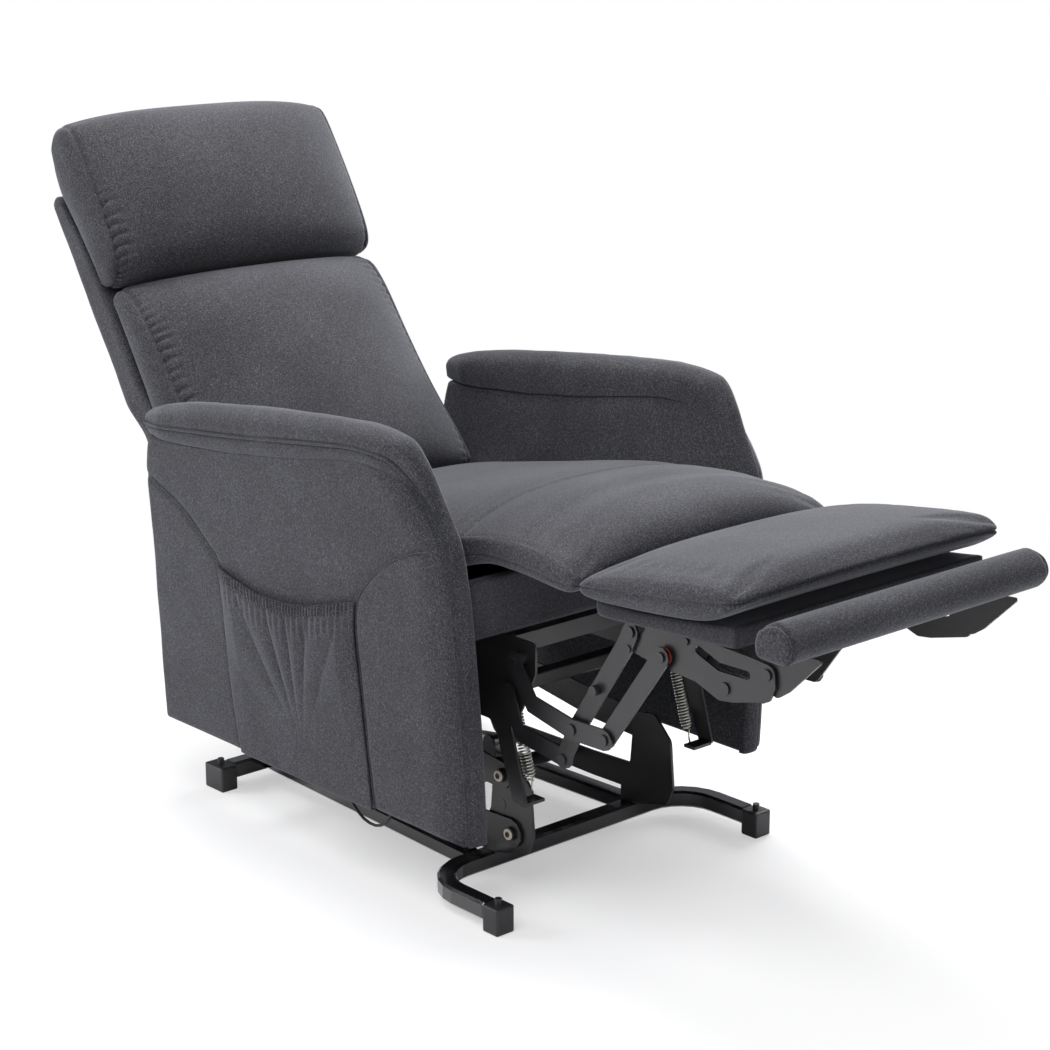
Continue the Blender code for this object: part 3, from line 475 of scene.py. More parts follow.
def inflate(ob, pin, grow, pressure, cap, frames=16, stiff=12.0, bend=0.4):
    """Fill a sewn cover with cloth pressure: pin holds the seams, grow loosens the cloth beside them."""
    start = coords_of(ob.data)
    for name, weights in (("pin", pin), ("loose", grow / max(1e-9, grow.max()))):
        group = ob.vertex_groups.new(name=name)
        for i, w in enumerate(weights):
            if w > 0.001:
                group.add([i], float(min(1.0, w)), "REPLACE")
    mod = ob.modifiers.new("fill", "CLOTH")
    cloth = mod.settings
    cloth.quality, cloth.mass, cloth.air_damping = 5, 0.25, 3.0
    cloth.tension_stiffness = cloth.compression_stiffness = stiff
    cloth.shear_stiffness, cloth.bending_stiffness = stiff * 0.4, bend
    cloth.use_pressure, cloth.uniform_pressure_force = True, pressure
    cloth.effector_weights.gravity = 0.0
    cloth.vertex_group_mass, cloth.pin_stiffness = "pin", 1.0
    cloth.vertex_group_shrink, cloth.shrink_min, cloth.shrink_max = "loose", 0.0, -float(grow.max())
    mod.collision_settings.use_collision = False
    mod.collision_settings.use_self_collision = False
    scene = bpy.context.scene
    for step in range(1, frames + 1):
        scene.frame_set(step)
    graph = bpy.context.evaluated_depsgraph_get()
    moved = ob.evaluated_get(graph).to_mesh()
    result = coords_of(moved)
    ob.evaluated_get(graph).to_mesh_clear()
    ob.modifiers.clear()
    ob.vertex_groups.clear()
    scene.frame_set(1)
    shift = result - start
    length = np.linalg.norm(shift, axis=1, keepdims=True)
    soft = cap * np.tanh(length / cap)
    set_coords(ob.data, start + shift * soft / np.maximum(length, 1e-9))


def press(ob, amount):
    """Move each point along its normal by amount (metres)."""
    set_coords(ob.data, coords_of(ob.data) + normals_of(ob.data) * np.asarray(amount)[:, None])


def tube(name, path, radius, mat, sides=8, wobble=0.0):
    """A round cord swept along an open path of points."""
    pts = np.array(path, dtype=float)
    count = len(pts)
    verts, faces = [], []
    up = Vector((0.0, 0.0, 1.0))
    frame_x = None
    for i in range(count):
        along = Vector(pts[min(i + 1, count - 1)] - pts[max(i - 1, 0)])
        along.normalize()
        if frame_x is None:
            steep = abs(along.dot(up)) > 0.9
            frame_x = along.orthogonal().normalized() if steep else along.cross(up).normalized()
        frame_x = (frame_x - along * frame_x.dot(along)).normalized()
        frame_y = along.cross(frame_x)
        r = radius * (1.0 + wobble * math.sin(i * 1.7))
        for k in range(sides):
            a = 2 * math.pi * k / sides
            verts.append(pts[i] + np.array(frame_x * (r * math.cos(a)) + frame_y * (r * math.sin(a))))
    for i in range(count - 1):
        for k in range(sides):
            m = (k + 1) % sides
            faces.append((i * sides + k, i * sides + m, (i + 1) * sides + m, (i + 1) * sides + k))
    faces.append(tuple(range(sides))[::-1])
    faces.append(tuple((count - 1) * sides + k for k in range(sides)))
    return add_object(name, verts, faces, mat)


def join(name, parts):
    """Join mesh objects into one piece."""
    first = parts[0]
    with bpy.context.temp_override(active_object=first, object=first, selected_objects=parts,
                                   selected_editable_objects=parts):
        bpy.ops.object.join()
    first.name = name
    first.data.name = name
    return first


def ship(ob, body, slot, *nodes, fill=None):
    """Say what a piece rides on and which CAD nodes it stands for; the finish slot is not used."""
    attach(ob, body)
    if nodes:
        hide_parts(*nodes)


# ---------------- soft pieces
def blend_patches(middle, edge, power=CROWN_POWER):
    """A profile that runs from the middle patch to the edge patch as it nears a cushion's ends."""
    def profile(s, t, across):
        weight = (across ** power)[:, None]
        return (1.0 - weight) * middle(s, t) + weight * edge(s, t)
    return profile


def stuffed(name, mat, half, profile, depth, height, radius, step, seam_at, loosen, cap, half_at=None,
            sink=0.004):
    """A sewn, filled cushion: a block bent to its profile, filled by cloth pressure, then refined.

    half is its half width, profile its (y, z) shape, depth and height its size along the profile, seam_at
    the side seam's distance in from the ends, loosen the spare cloth at the seams, cap how far the
    filling may push the cover out, half_at(y) a width that changes along the way, sink the seams' depth.
    """
    flat, soft, faces = block((2.0 * half, depth, height), radius, step)
    across = np.abs(soft[:, 0]) / half
    yz = profile(0.5 + soft[:, 1] / depth, 0.5 + soft[:, 2] / height, across)
    x = soft[:, 0] if half_at is None else soft[:, 0] / half * half_at(yz[:, 0])
    ob = add_object(name, np.column_stack([x, yz]), faces, mat)
    keep_flat(ob, flat)
    gap = seam_gap(flat, half, depth, height, seam_at)
    resting = np.where(flat[:, 2] < -height / 2 + ON_FACE, 1.0, 0.0)
    inflate(ob, np.maximum(falloff(gap, step * 0.9), resting), loosen * falloff(gap, 0.075) + 0.004, 4.0, cap)
    press(ob, np.where(gap < step * 0.55, -sink, 0.0))
    subdivide(ob)
    return ob


def seam_gap(flat, half, depth, height, seam_at):
    """Distance of each point on the plain box from the two end seams of a cushion."""
    outer = (flat[:, 2] > height / 2 - ON_FACE) | (np.abs(np.abs(flat[:, 1]) - depth / 2) < ON_FACE)
    return np.where(outer, np.abs(np.abs(flat[:, 0]) - (half - seam_at)), 1.0)


def pucker_ends(ob, half, depth, height, seam_at, pitch, crease_depth, seed, reach=0.04):
    """Press the end seams, then short uneven creases that run inwards from them."""
    side_seams(ob, half, depth, height, seam_at)
    flat = flat_of(ob)
    gap = np.where(np.abs(flat[:, 0]) < half - seam_at, seam_gap(flat, half, depth, height, seam_at), 1.0)
    along = flat[:, 1] + flat[:, 2]
    co = coords_of(ob.data)
    drift = fractal(co, 9.0, seed)
    strong = np.clip(0.55 + 0.9 * fractal(co, 4.0, seed + 1), 0.1, 1.4)
    wave = np.cos(2 * math.pi * (along / pitch + 0.9 * drift))
    crease = np.clip(wave, 0.0, 1.0) ** 2.0
    share = np.clip(1.0 - gap / (reach * (0.6 + 0.5 * strong)), 0.0, 1.0) ** 0.8
    press(ob, (0.25 * (1.0 - crease) - crease) * crease_depth * strong * share)


def side_seams(ob, half, depth, height, seam_at, width=0.006, sink=0.0022):
    """Press the two end seams into a finished cushion."""
    press(ob, -sink * falloff(seam_gap(flat_of(ob), half, depth, height, seam_at), width))


def back_patch(rear, front, bottom, top):
    """A patch whose sides are given as (up, front) on the back."""
    turn = [[back_point(*p) for p in side] for side in (bottom, top, rear, front)]
    return Patch(*turn)


def make_headrest(m):
    """Headrest cushion with gathered end seams."""
    half, depth, height, seam_at = 0.291, 0.33, 0.11, 0.012
    middle = back_patch(rear=[(0.294, 0.0545), (0.42, 0.037), (0.488, 0.025), (0.54, 0.031), (0.598, 0.06)],
                        front=[(0.294, 0.128), (0.33, 0.156), (0.42, 0.173), (0.52, 0.17), (0.58, 0.15),
                               (0.61, 0.117)],
                        bottom=[(0.294, 0.0545), (0.29, 0.092), (0.294, 0.128)],
                        top=[(0.598, 0.06), (0.615, 0.087), (0.61, 0.117)])
    edge = back_patch(rear=[(0.294, 0.0545), (0.42, 0.037), (0.488, 0.025), (0.53, 0.03), (0.58, 0.052)],
                      front=[(0.294, 0.088), (0.33, 0.11), (0.42, 0.118), (0.52, 0.119), (0.573, 0.114),
                             (0.595, 0.098)],
                      bottom=[(0.294, 0.0545), (0.292, 0.069), (0.294, 0.088)],
                      top=[(0.585, 0.054), (0.6, 0.074), (0.595, 0.098)])
    profile = blend_patches(middle, edge, HEADREST_CROWN_POWER)
    ob = stuffed("headrest_cushion_cover", m["fabric"], half, profile, depth, height, 0.022, 0.0066, seam_at,
                 0.085, 0.014)
    pucker_ends(ob, half, depth, height, seam_at, 0.019, 0.0066, 11)
    ship(ob, "back", "fabric", "headrest_cushion", fill=0.75)


def make_back_cushion(m):
    """Back cushion with gathered end seams."""
    half, depth, height, seam_at = 0.283, 0.5, 0.14, 0.012
    rear = [(-0.158, 0.111), (-0.045, 0.055), (0.12, 0.055), (0.283, 0.055)]
    middle = back_patch(rear=rear,
                        front=[(-0.184, 0.206), (-0.12, 0.224), (0.0, 0.21), (0.15, 0.186), (0.22, 0.166),
                               (0.278, 0.128)],
                        bottom=[(-0.158, 0.111), (-0.184, 0.15), (-0.184, 0.206)],
                        top=[(0.283, 0.055), (0.288, 0.09), (0.278, 0.128)])
    edge = back_patch(rear=rear,
                      front=[(-0.177, 0.162), (-0.12, 0.157), (0.0, 0.133), (0.1, 0.12), (0.21, 0.11),
                             (0.27, 0.094)],
                      bottom=[(-0.158, 0.111), (-0.177, 0.138), (-0.177, 0.162)],
                      top=[(0.283, 0.055), (0.285, 0.076), (0.27, 0.094)])
    ob = stuffed("back_cushion_cover", m["fabric"], half, blend_patches(middle, edge), depth, height, 0.024,
                 0.0074, seam_at, 0.08, 0.016)
    pucker_ends(ob, half, depth, height, seam_at, 0.021, 0.006, 21)
    ship(ob, "back", "fabric", "back_cushion", fill=0.75)


def seat_half(y):
    """Half width of the seat: narrow where it overhangs the front, wider between the arms."""
    return 0.28 + 0.0178 * ease(np.clip((y + 0.275) / 0.06, 0.0, 1.0))


def make_seat_cushion(m):
    """Seat cushion: a seam and a softer crease across its top, a band along its sides."""
    half, depth, height, seam_at = 0.28, 0.79, 0.11, 0.003
    middle = Patch(start=[(-0.474, 0.588), (-0.479, 0.607), (-0.474, 0.628)],
                   end=[(0.304, 0.486), (0.315, 0.518), (0.311, 0.552)],
                   low=[(-0.474, 0.588), (-0.44, 0.5755), (-0.35, 0.567), (-0.24, 0.558), (-0.05, 0.5),
                        (0.1, 0.472), (0.304, 0.486)],
                   high=[(-0.474, 0.628), (-0.44, 0.655), (-0.32, 0.668), (-0.15, 0.65), (0.05, 0.606),
                         (0.311, 0.552)])
    edge = Patch(start=[(-0.475, 0.581), (-0.479, 0.59), (-0.475, 0.6)],
                 end=[(0.304, 0.486), (0.314, 0.51), (0.311, 0.536)],
                 low=[(-0.475, 0.581), (-0.44, 0.571), (-0.335, 0.58), (-0.24, 0.573), (-0.05, 0.51),
                      (0.1, 0.475), (0.304, 0.486)],
                 high=[(-0.475, 0.6), (-0.43, 0.621), (-0.32, 0.628), (-0.15, 0.606), (0.05, 0.578),
                       (0.311, 0.536)])
    ob = stuffed("seat_cushion_cover", m["fabric"], half, blend_patches(middle, edge), depth, height, 0.022,
                 0.0085, seam_at, 0.03, 0.01, half_at=seat_half, sink=0.0015)
    flat = flat_of(ob)
    top = flat[:, 2] > height / 2 - ON_FACE
    bow = 0.03 * (np.abs(flat[:, 0]) / half) ** 2
    seam = np.where(top, np.abs(flat[:, 1] + 0.115 + bow), 1.0)
    crease = np.where(top, np.abs(flat[:, 1] + 0.235 + 1.6 * bow), 1.0)
    dip = 0.0028 * falloff(seam, 0.007) + 0.0045 * falloff(seam, 0.05)
    press(ob, -dip - 0.003 * falloff(crease, 0.04))
    flank = np.abs(flat[:, 0]) > half - ON_FACE
    band = np.where(flank, np.abs(flat[:, 2] + 0.018), 1.0)
    press(ob, -0.0025 * falloff(band, 0.007))
    ship(ob, "chair", "fabric", "seat_cushion", fill=0.8)


def make_ottoman_pad(m):
    """Ottoman pad with one seam round its side."""
    half, depth, height = 0.2945, 0.322, 0.07
    middle = Patch(start=[(-0.797, 0.629), (-0.804, 0.643), (-0.797, 0.655)],
                   end=[(-0.488, 0.5815), (-0.4835, 0.593), (-0.488, 0.606)],
                   low=[(-0.797, 0.629), (-0.72, 0.596), (-0.56, 0.58), (-0.488, 0.5815)],
                   high=[(-0.797, 0.655), (-0.745, 0.668), (-0.6, 0.657), (-0.52, 0.635), (-0.488, 0.606)])
    edge = Patch(start=[(-0.79, 0.622), (-0.797, 0.634), (-0.791, 0.647)],
                 end=[(-0.488, 0.581), (-0.4835, 0.592), (-0.488, 0.603)],
                 low=[(-0.79, 0.622), (-0.72, 0.594), (-0.56, 0.579), (-0.488, 0.581)],
                 high=[(-0.791, 0.647), (-0.742, 0.656), (-0.6, 0.636), (-0.52, 0.618), (-0.488, 0.603)])
    ob = stuffed("ottoman_pad_cover", m["fabric"], half, blend_patches(middle, edge), depth, height, 0.024,
                 0.006, 0.002, 0.002, 0.0025, sink=0.0)
    flat = flat_of(ob)
    on_side = (np.abs(flat[:, 0]) > half - ON_FACE) | (np.abs(flat[:, 1]) > depth / 2 - ON_FACE)
    level = np.where(on_side, np.abs(flat[:, 2] - 0.001), 1.0)
    press(ob, -0.003 * falloff(level, 0.006) - 0.001 * falloff(level, 0.014))
    ship(ob, "ottoman", "fabric", "ottoman_pad", fill=0.8)


def make_bolster(m):
    """Bolster in front of the ottoman, with round end caps."""
    half, depth, height, seam_at = 0.284, 0.076, 0.054, 0.006
    patch = Patch(start=[(-0.882, 0.567), (-0.8955, 0.592), (-0.884, 0.616)],
                  end=[(-0.8265, 0.568), (-0.8225, 0.59), (-0.83, 0.611)],
                  low=[(-0.882, 0.567), (-0.855, 0.5665), (-0.8265, 0.568)],
                  high=[(-0.884, 0.616), (-0.858, 0.6245), (-0.83, 0.611)])
    ob = stuffed("footrest_bolster_cover", m["fabric"], half, lambda s, t, across: patch(s, t), depth, height,
                 0.012, 0.0055, seam_at, 0.03, 0.004)
    side_seams(ob, half, depth, height, seam_at, 0.005, 0.002)
    ship(ob, "flipper", "fabric", "footrest_bolster", fill=0.8)


# ---------------- arms
PANEL_REAR = [(0.5225, 0.1376), (0.5223, 0.36), (0.5223, 0.466), (0.5245, 0.575), (0.519, 0.62),
              (0.509, 0.656)]
PANEL_TOP = [(0.509, 0.656), (0.4, 0.66), (0.26, 0.6715), (0.125, 0.6885), (0.02, 0.7045),
             (-0.055, 0.716), (-0.112, 0.7205)]
PANEL_FRONT = [(-0.287, 0.1376), (-0.2875, 0.2), (-0.2865, 0.3), (-0.282, 0.4), (-0.2755, 0.5),
               (-0.27, 0.55), (-0.259, 0.608), (-0.241, 0.642), (-0.215, 0.675), (-0.186, 0.7025),
               (-0.149, 0.7195), (-0.112, 0.7205)]
# the outer seams of a panel and the mouth of its pocket as (y, z)
REAR_SEAM = [(0.526, 0.586), (0.4918, 0.5718), (0.4393, 0.552), (0.3969, 0.5286), (0.3556, 0.4962),
             (0.3218, 0.4671), (0.311, 0.4014), (0.3078, 0.3333), (0.302, 0.2419), (0.287, 0.1385)]
FRONT_SEAM = [(-0.256, 0.615), (-0.2283, 0.608), (-0.1901, 0.596), (-0.1513, 0.578), (-0.1108, 0.5525),
              (-0.0777, 0.5224), (-0.0536, 0.4916), (-0.0455, 0.4507), (-0.0455, 0.41), (-0.0558, 0.2802),
              (-0.0664, 0.1385)]
BORDER_STITCH = [(-0.25, 0.615), (-0.26, 0.57), (-0.268, 0.5), (-0.274, 0.4), (-0.2785, 0.3),
                 (-0.28, 0.2), (-0.28, 0.142)]
POCKET_MOUTH = [(0.32, 0.465), (0.2578, 0.4522), (0.2029, 0.443), (0.1481, 0.4425), (0.0938, 0.4476),
                (0.0186, 0.4663), (-0.052, 0.486)]
POCKET_RIBS = 44.0
# the panel's outer face sinks this much over this distance from its front border
BORDER_SINK, BORDER_ROUND = 0.0205, 0.075
# stations along the arm strip: (y, z) of its lower line, (y, z) of its crest, share of front border
ARM_STATIONS = [
    ((0.5215, 0.674), (0.525, 0.686), 0.0), ((0.515, 0.661), (0.517, 0.6975), 0.0),
    ((0.47, 0.657), (0.475, 0.712), 0.0), ((0.4, 0.659), (0.407, 0.7263), 0.0),
    ((0.26, 0.6705), (0.263, 0.7455), 0.0), ((0.125, 0.6875), (0.13, 0.7598), 0.0),
    ((0.02, 0.7035), (0.01, 0.7695), 0.0), ((-0.055, 0.715), (-0.085, 0.774), 0.05),
    ((-0.112, 0.7195), (-0.147, 0.7685), 0.2), ((-0.149, 0.7185), (-0.178, 0.757), 0.45),
    ((-0.186, 0.7015), (-0.207, 0.722), 0.72), ((-0.2145, 0.6745), (-0.228, 0.6835), 0.9),
    ((-0.2405, 0.6415), (-0.248, 0.646), 1.0), ((-0.258, 0.608), (-0.2645, 0.6105), 1.0),
    ((-0.2692, 0.55), (-0.2755, 0.551), 1.0), ((-0.2746, 0.5), (-0.281, 0.5005), 1.0),
    ((-0.2811, 0.4), (-0.2875, 0.4003), 1.0), ((-0.2856, 0.3), (-0.292, 0.3), 1.0),
    ((-0.2866, 0.2), (-0.293, 0.2), 1.0), ((-0.2861, 0.1376), (-0.2925, 0.1376), 1.0)]
# cross sections as (x from the panel's middle, height as a share of the crest): below and above the welt
ROLL_TOP = [(0.0245, -0.02), (0.0282, 0.1), (0.0288, 0.22), (0.0268, 0.36)]
ROLL_FRONT = [(0.0062, -1.1), (0.0068, -0.7), (0.0076, -0.35), (0.0085, -0.05)]
CROWN_TOP = [(0.0268, 0.36), (0.0292, 0.48), (0.0262, 0.72), (0.015, 0.93), (0.0, 1.0), (-0.014, 0.95),
             (-0.0248, 0.76), (-0.028, 0.45), (-0.0265, 0.0)]
CROWN_FRONT = [(0.0085, -0.05), (0.0076, 0.42), (0.004, 0.84), (-0.0015, 0.98), (-0.008, 1.02),
               (-0.015, 0.92), (-0.0205, 0.62), (-0.0238, 0.0), (-0.024, -1.2)]


def leaned(x, z, s):
    """World x of a point on a leaning arm."""
    return s * (x + ARM_LEAN * (z - PANEL_LOW))


def grid_faces(rows, columns, flip):
    """Quads of a rows by columns grid of points, turned over when flip is set."""
    quads = [(i * columns + j, i * columns + j + 1, (i + 1) * columns + j + 1, (i + 1) * columns + j)
             for i in range(rows - 1) for j in range(columns - 1)]
    return [quad[::-1] for quad in quads] if flip else quads


def line_distance(points, line):
    """Distance of (y, z) points from a polyline, and the nearest point on it."""
    best, nearest = np.full(len(points), 9.0), np.array(points)
    for a, b in zip(line[:-1], line[1:]):
        ab = b - a
        t = np.clip(((points - a) @ ab) / max(1e-12, ab @ ab), 0.0, 1.0)
        foot = a + t[:, None] * ab
        gap = np.linalg.norm(points - foot, axis=1)
        closer = gap < best
        best[closer], nearest[closer] = gap[closer], foot[closer]
    return best, nearest


def make_side_panel(side, s, m):
    """Covered side board: its outer face rounds in towards the front border and carries two seams."""
    thick, wide, tall, step = PANEL_OUT - PANEL_IN, 0.81, 0.56, 0.0052
    flat, soft, faces = block((thick, wide, tall), 0.008, step)
    patch = Patch(start=PANEL_REAR, end=PANEL_FRONT, low=[PANEL_REAR[0], PANEL_FRONT[0]], high=PANEL_TOP)
    yz = patch(0.5 + soft[:, 1] / wide, 0.5 + soft[:, 2] / tall)
    outside = flat[:, 0] > thick / 2 - 1e-4
    seam = np.full(len(yz), 1.0)
    for line in (REAR_SEAM, FRONT_SEAM):
        gap, foot = line_distance(yz, smooth_curve(line, 90))
        snap = outside & (gap < step * 0.55)
        yz[snap] = foot[snap]
        seam = np.minimum(seam, np.where(snap, 0.0, gap))
    to_front = wide / 2 - flat[:, 1]
    rounding = np.clip(1.0 - to_front / BORDER_ROUND, 0.0, 1.0) ** 2.2 * BORDER_SINK
    edge = np.minimum.reduce([to_front, wide / 2 + flat[:, 1], tall / 2 - np.abs(flat[:, 2])])
    crown = 0.002 * (1.0 - falloff(edge, 0.06))
    inside = flat[:, 0] < -thick / 2 + 1e-4
    x = soft[:, 0] + np.where(outside, crown - rounding, 0.0) - np.where(inside, crown, 0.0)
    x += np.where(outside, -0.003 * falloff(seam, 0.0055) - 0.0012 * falloff(seam, 0.016), 0.0)
    points = np.column_stack([leaned(PANEL_MID + x, yz[:, 1], s), yz])
    if s < 0:
        faces = [face[::-1] for face in faces]
    ob = add_object("side_panel_cover_" + side, points, faces, m["fabric"])
    co = coords_of(ob.data)
    slack = fractal(co, 5.0, 3 if s > 0 else 8) * 0.0012 + fractal(co, 16.0, 5) * 0.0004
    press(ob, np.where(outside, slack, 0.0))
    ship(ob, "chair", "fabric", "side_panel_" + side)


def arm_rings(count):
    """Evenly spaced stations along the arm strip: lower line, crest and share of front border."""
    rows = np.array([[*low, *crest, front] for low, crest, front in ARM_STATIONS])
    rows = smooth_curve(rows, count)
    return rows[:, 0:2], rows[:, 2:4], np.clip(rows[:, 4], 0.0, 1.0)


def make_arm_strip(side, s, m):
    """Padded arm top that runs on as a narrow border down the front, with a welt along its outer side."""
    count, low_ring, crown_ring = 340, 12, 44
    ring, welt_column = low_ring + crown_ring - 1, low_ring - 1
    low, crest, share = arm_rings(count)
    share = ease(share)
    verts, welt = [], []
    for i in range(count):
        b = share[i]
        lower = smooth_curve(np.array(ROLL_TOP) * (1 - b) + np.array(ROLL_FRONT) * b, low_ring)
        upper = smooth_curve(np.array(CROWN_TOP) * (1 - b) + np.array(CROWN_FRONT) * b, crown_ring)
        tip = min(1.0, 0.55 + i / 26.0)
        for k, (x, n) in enumerate(np.vstack([lower[:-1], upper])):
            y, z = low[i] + (crest[i] - low[i]) * n
            verts.append((leaned(PANEL_MID + x * tip, z, s), y, z))
            if k == welt_column:
                welt.append((leaned(PANEL_MID + x * tip + 0.0014, z, s), y, z))
    faces = []
    for i in range(count - 1):
        for k in range(ring):
            j = (k + 1) % ring
            faces.append((i * ring + k, i * ring + j, (i + 1) * ring + j, (i + 1) * ring + k))
    faces.append(tuple(range(ring))[::-1])
    faces.append(tuple((count - 1) * ring + k for k in range(ring)))
    if s < 0:
        faces = [face[::-1] for face in faces]
    ob = add_object("arm_pad_cover_" + side, verts, faces, m["fabric"])
    rows, columns = np.divmod(np.arange(len(verts)), ring)
    padded = 1.0 - share[rows]
    from_welt = (columns - welt_column) / crown_ring
    near_welt = np.where(from_welt > 0, falloff(from_welt, 0.3), 0.0) * padded
    along = rows / count * 1.2
    co = coords_of(ob.data)
    drift = fractal(co, 7.0, 31 if s > 0 else 37)
    crease = np.clip(np.cos(2 * math.pi * (along / 0.03 + drift)), 0.0, 1.0) ** 4
    deep = np.clip(fractal(co, 3.0, 41) + 0.25, 0.0, 1.0)
    groove = falloff(np.abs(columns - welt_column), 3.0) * 0.0016
    uneven = 0.0012 * fractal(co, 12.0, 43) * padded
    press(ob, uneven - groove - 0.0036 * crease * deep * near_welt)
    cord = tube("welt", welt, 0.0027, m["fabric"], 10, wobble=0.04)
    ship(join("arm_pad_cover_" + side, [ob, cord]), "chair", "fabric", "arm_pad_" + side, fill=0.6)


def pocket_relief(u, v, below):
    """How far the pocket's cloth stands off at a share u across and v down, below its mouth by below."""
    edge = min(1.0, 9.0 * min(u, 1 - u)) ** 0.6
    band = math.exp(-((below - 0.009) / 0.0095) ** 4)
    rib = math.sin(2 * math.pi * (u * POCKET_RIBS + 0.35 * math.sin(9.0 * u)))
    turn = math.atan2((u - 0.53) * 1.3, max(0.02, 0.86 - v))
    fade = math.exp(-((below - 0.085) / 0.08) ** 2)
    fold = abs(math.sin(turn * 9.0 + 1.1 * math.sin(3.0 * turn))) ** 0.8 - 0.6
    stitch = math.exp(-((below - 0.0185) / 0.0018) ** 2)
    bulge = 0.0085 * math.exp(-((v - 0.25) / 0.42) ** 2) + 0.0012
    gathers = math.sin(math.pi * u * POCKET_RIBS + 2.0) * math.exp(-((below - 0.035) / 0.02) ** 2)
    relief = 0.0027 * rib * band + 0.0044 * fold * fade * (1 - band) - 0.0018 * stitch + 0.0008 * gathers
    return edge * (bulge + relief)


def make_pocket(side, s, m):
    """Gathered pocket: a cloth front held on three sides, with an elastic band at its sagging mouth."""
    rows, cols = 110, 240
    rear, front = smooth_curve(REAR_SEAM, 200), smooth_curve(FRONT_SEAM, 200)
    rear = smooth_curve(rear[rear[:, 1] < 0.465], rows)
    front = smooth_curve(front[(front[:, 1] < 0.486) & (front[:, 0] > -0.1)], rows)
    mouth = smooth_curve(POCKET_MOUTH, 400)
    verts = []
    for i in range(rows):
        v = i / (rows - 1)
        for j in range(cols):
            u = j / (cols - 1)
            y, z = rear[i] * (1 - u) + front[i] * u
            top = np.interp(-y, -mouth[:, 0], mouth[:, 1])
            straight = rear[0][1] * (1 - u) + front[0][1] * u
            z += (top - straight) * (1 - v) ** 2.5
            below = max(0.0, top - z) if v > 0 else 0.0
            verts.append((leaned(PANEL_OUT + 0.003 + pocket_relief(u, v, below), z, s), y, z))
    ob = add_object("pocket_cover_" + side, verts, grid_faces(rows, cols, s > 0), m["fabric"])
    mod = ob.modifiers.new("cloth_thickness", "SOLIDIFY")
    mod.thickness, mod.offset = 0.002, -1.0
    bake_modifiers(ob)
    ship(ob, "chair", "fabric", "pocket_" + side)


def make_panel_cords(side, s, m):
    """Top-stitched seam lines of the side panel: the second border line and a low cord beside each seam."""
    runs = [(smooth_curve(BORDER_STITCH, 160), PANEL_OUT - 0.0125, 0.0016)]
    for line in (REAR_SEAM, FRONT_SEAM):
        path = smooth_curve(line, 120)[4:]
        along = np.gradient(path, axis=0)
        along /= np.linalg.norm(along, axis=1, keepdims=True)
        aside = np.column_stack([-along[:, 1], along[:, 0]]) * np.sign(along[-1, 1])
        runs.append((path + 0.0042 * aside, PANEL_OUT + 0.0012, 0.0011))
    parts = [tube("cord", [(leaned(x, z, s), y, z) for y, z in path], radius, m["fabric"], 6)
             for path, x, radius in runs]
    ship(join("panel_cords_" + side, parts), "chair", "fabric")


# ---------------- back shell, boards and linings
def covered_board(name, node, body, slot, mat, half, patch, depth, height, radius, step, wave, seed,
                  half_at=None):
    """A board or frame wrapped in cloth: a rounded block bent to a profile with faint slack in the cover."""
    flat, soft, faces = block((2 * half, depth, height), radius, step)
    s = 0.5 + soft[:, 1] / depth
    yz = patch(s, 0.5 + soft[:, 2] / height)
    x = soft[:, 0] if half_at is None else soft[:, 0] / half * half_at(s)
    ob = add_object(name, np.column_stack([x, yz]), faces, mat)
    keep_flat(ob, flat)
    press(ob, fractal(coords_of(ob.data), 9.0, seed) * wave)
    ship(ob, body, slot, node)
    return ob


def shell_half(s):
    """Half width of the back shell at a share s of its height: narrow below, wider above."""
    return 0.271 + 0.0145 * ease(np.clip((s - 0.22) / 0.12, 0.0, 1.0))


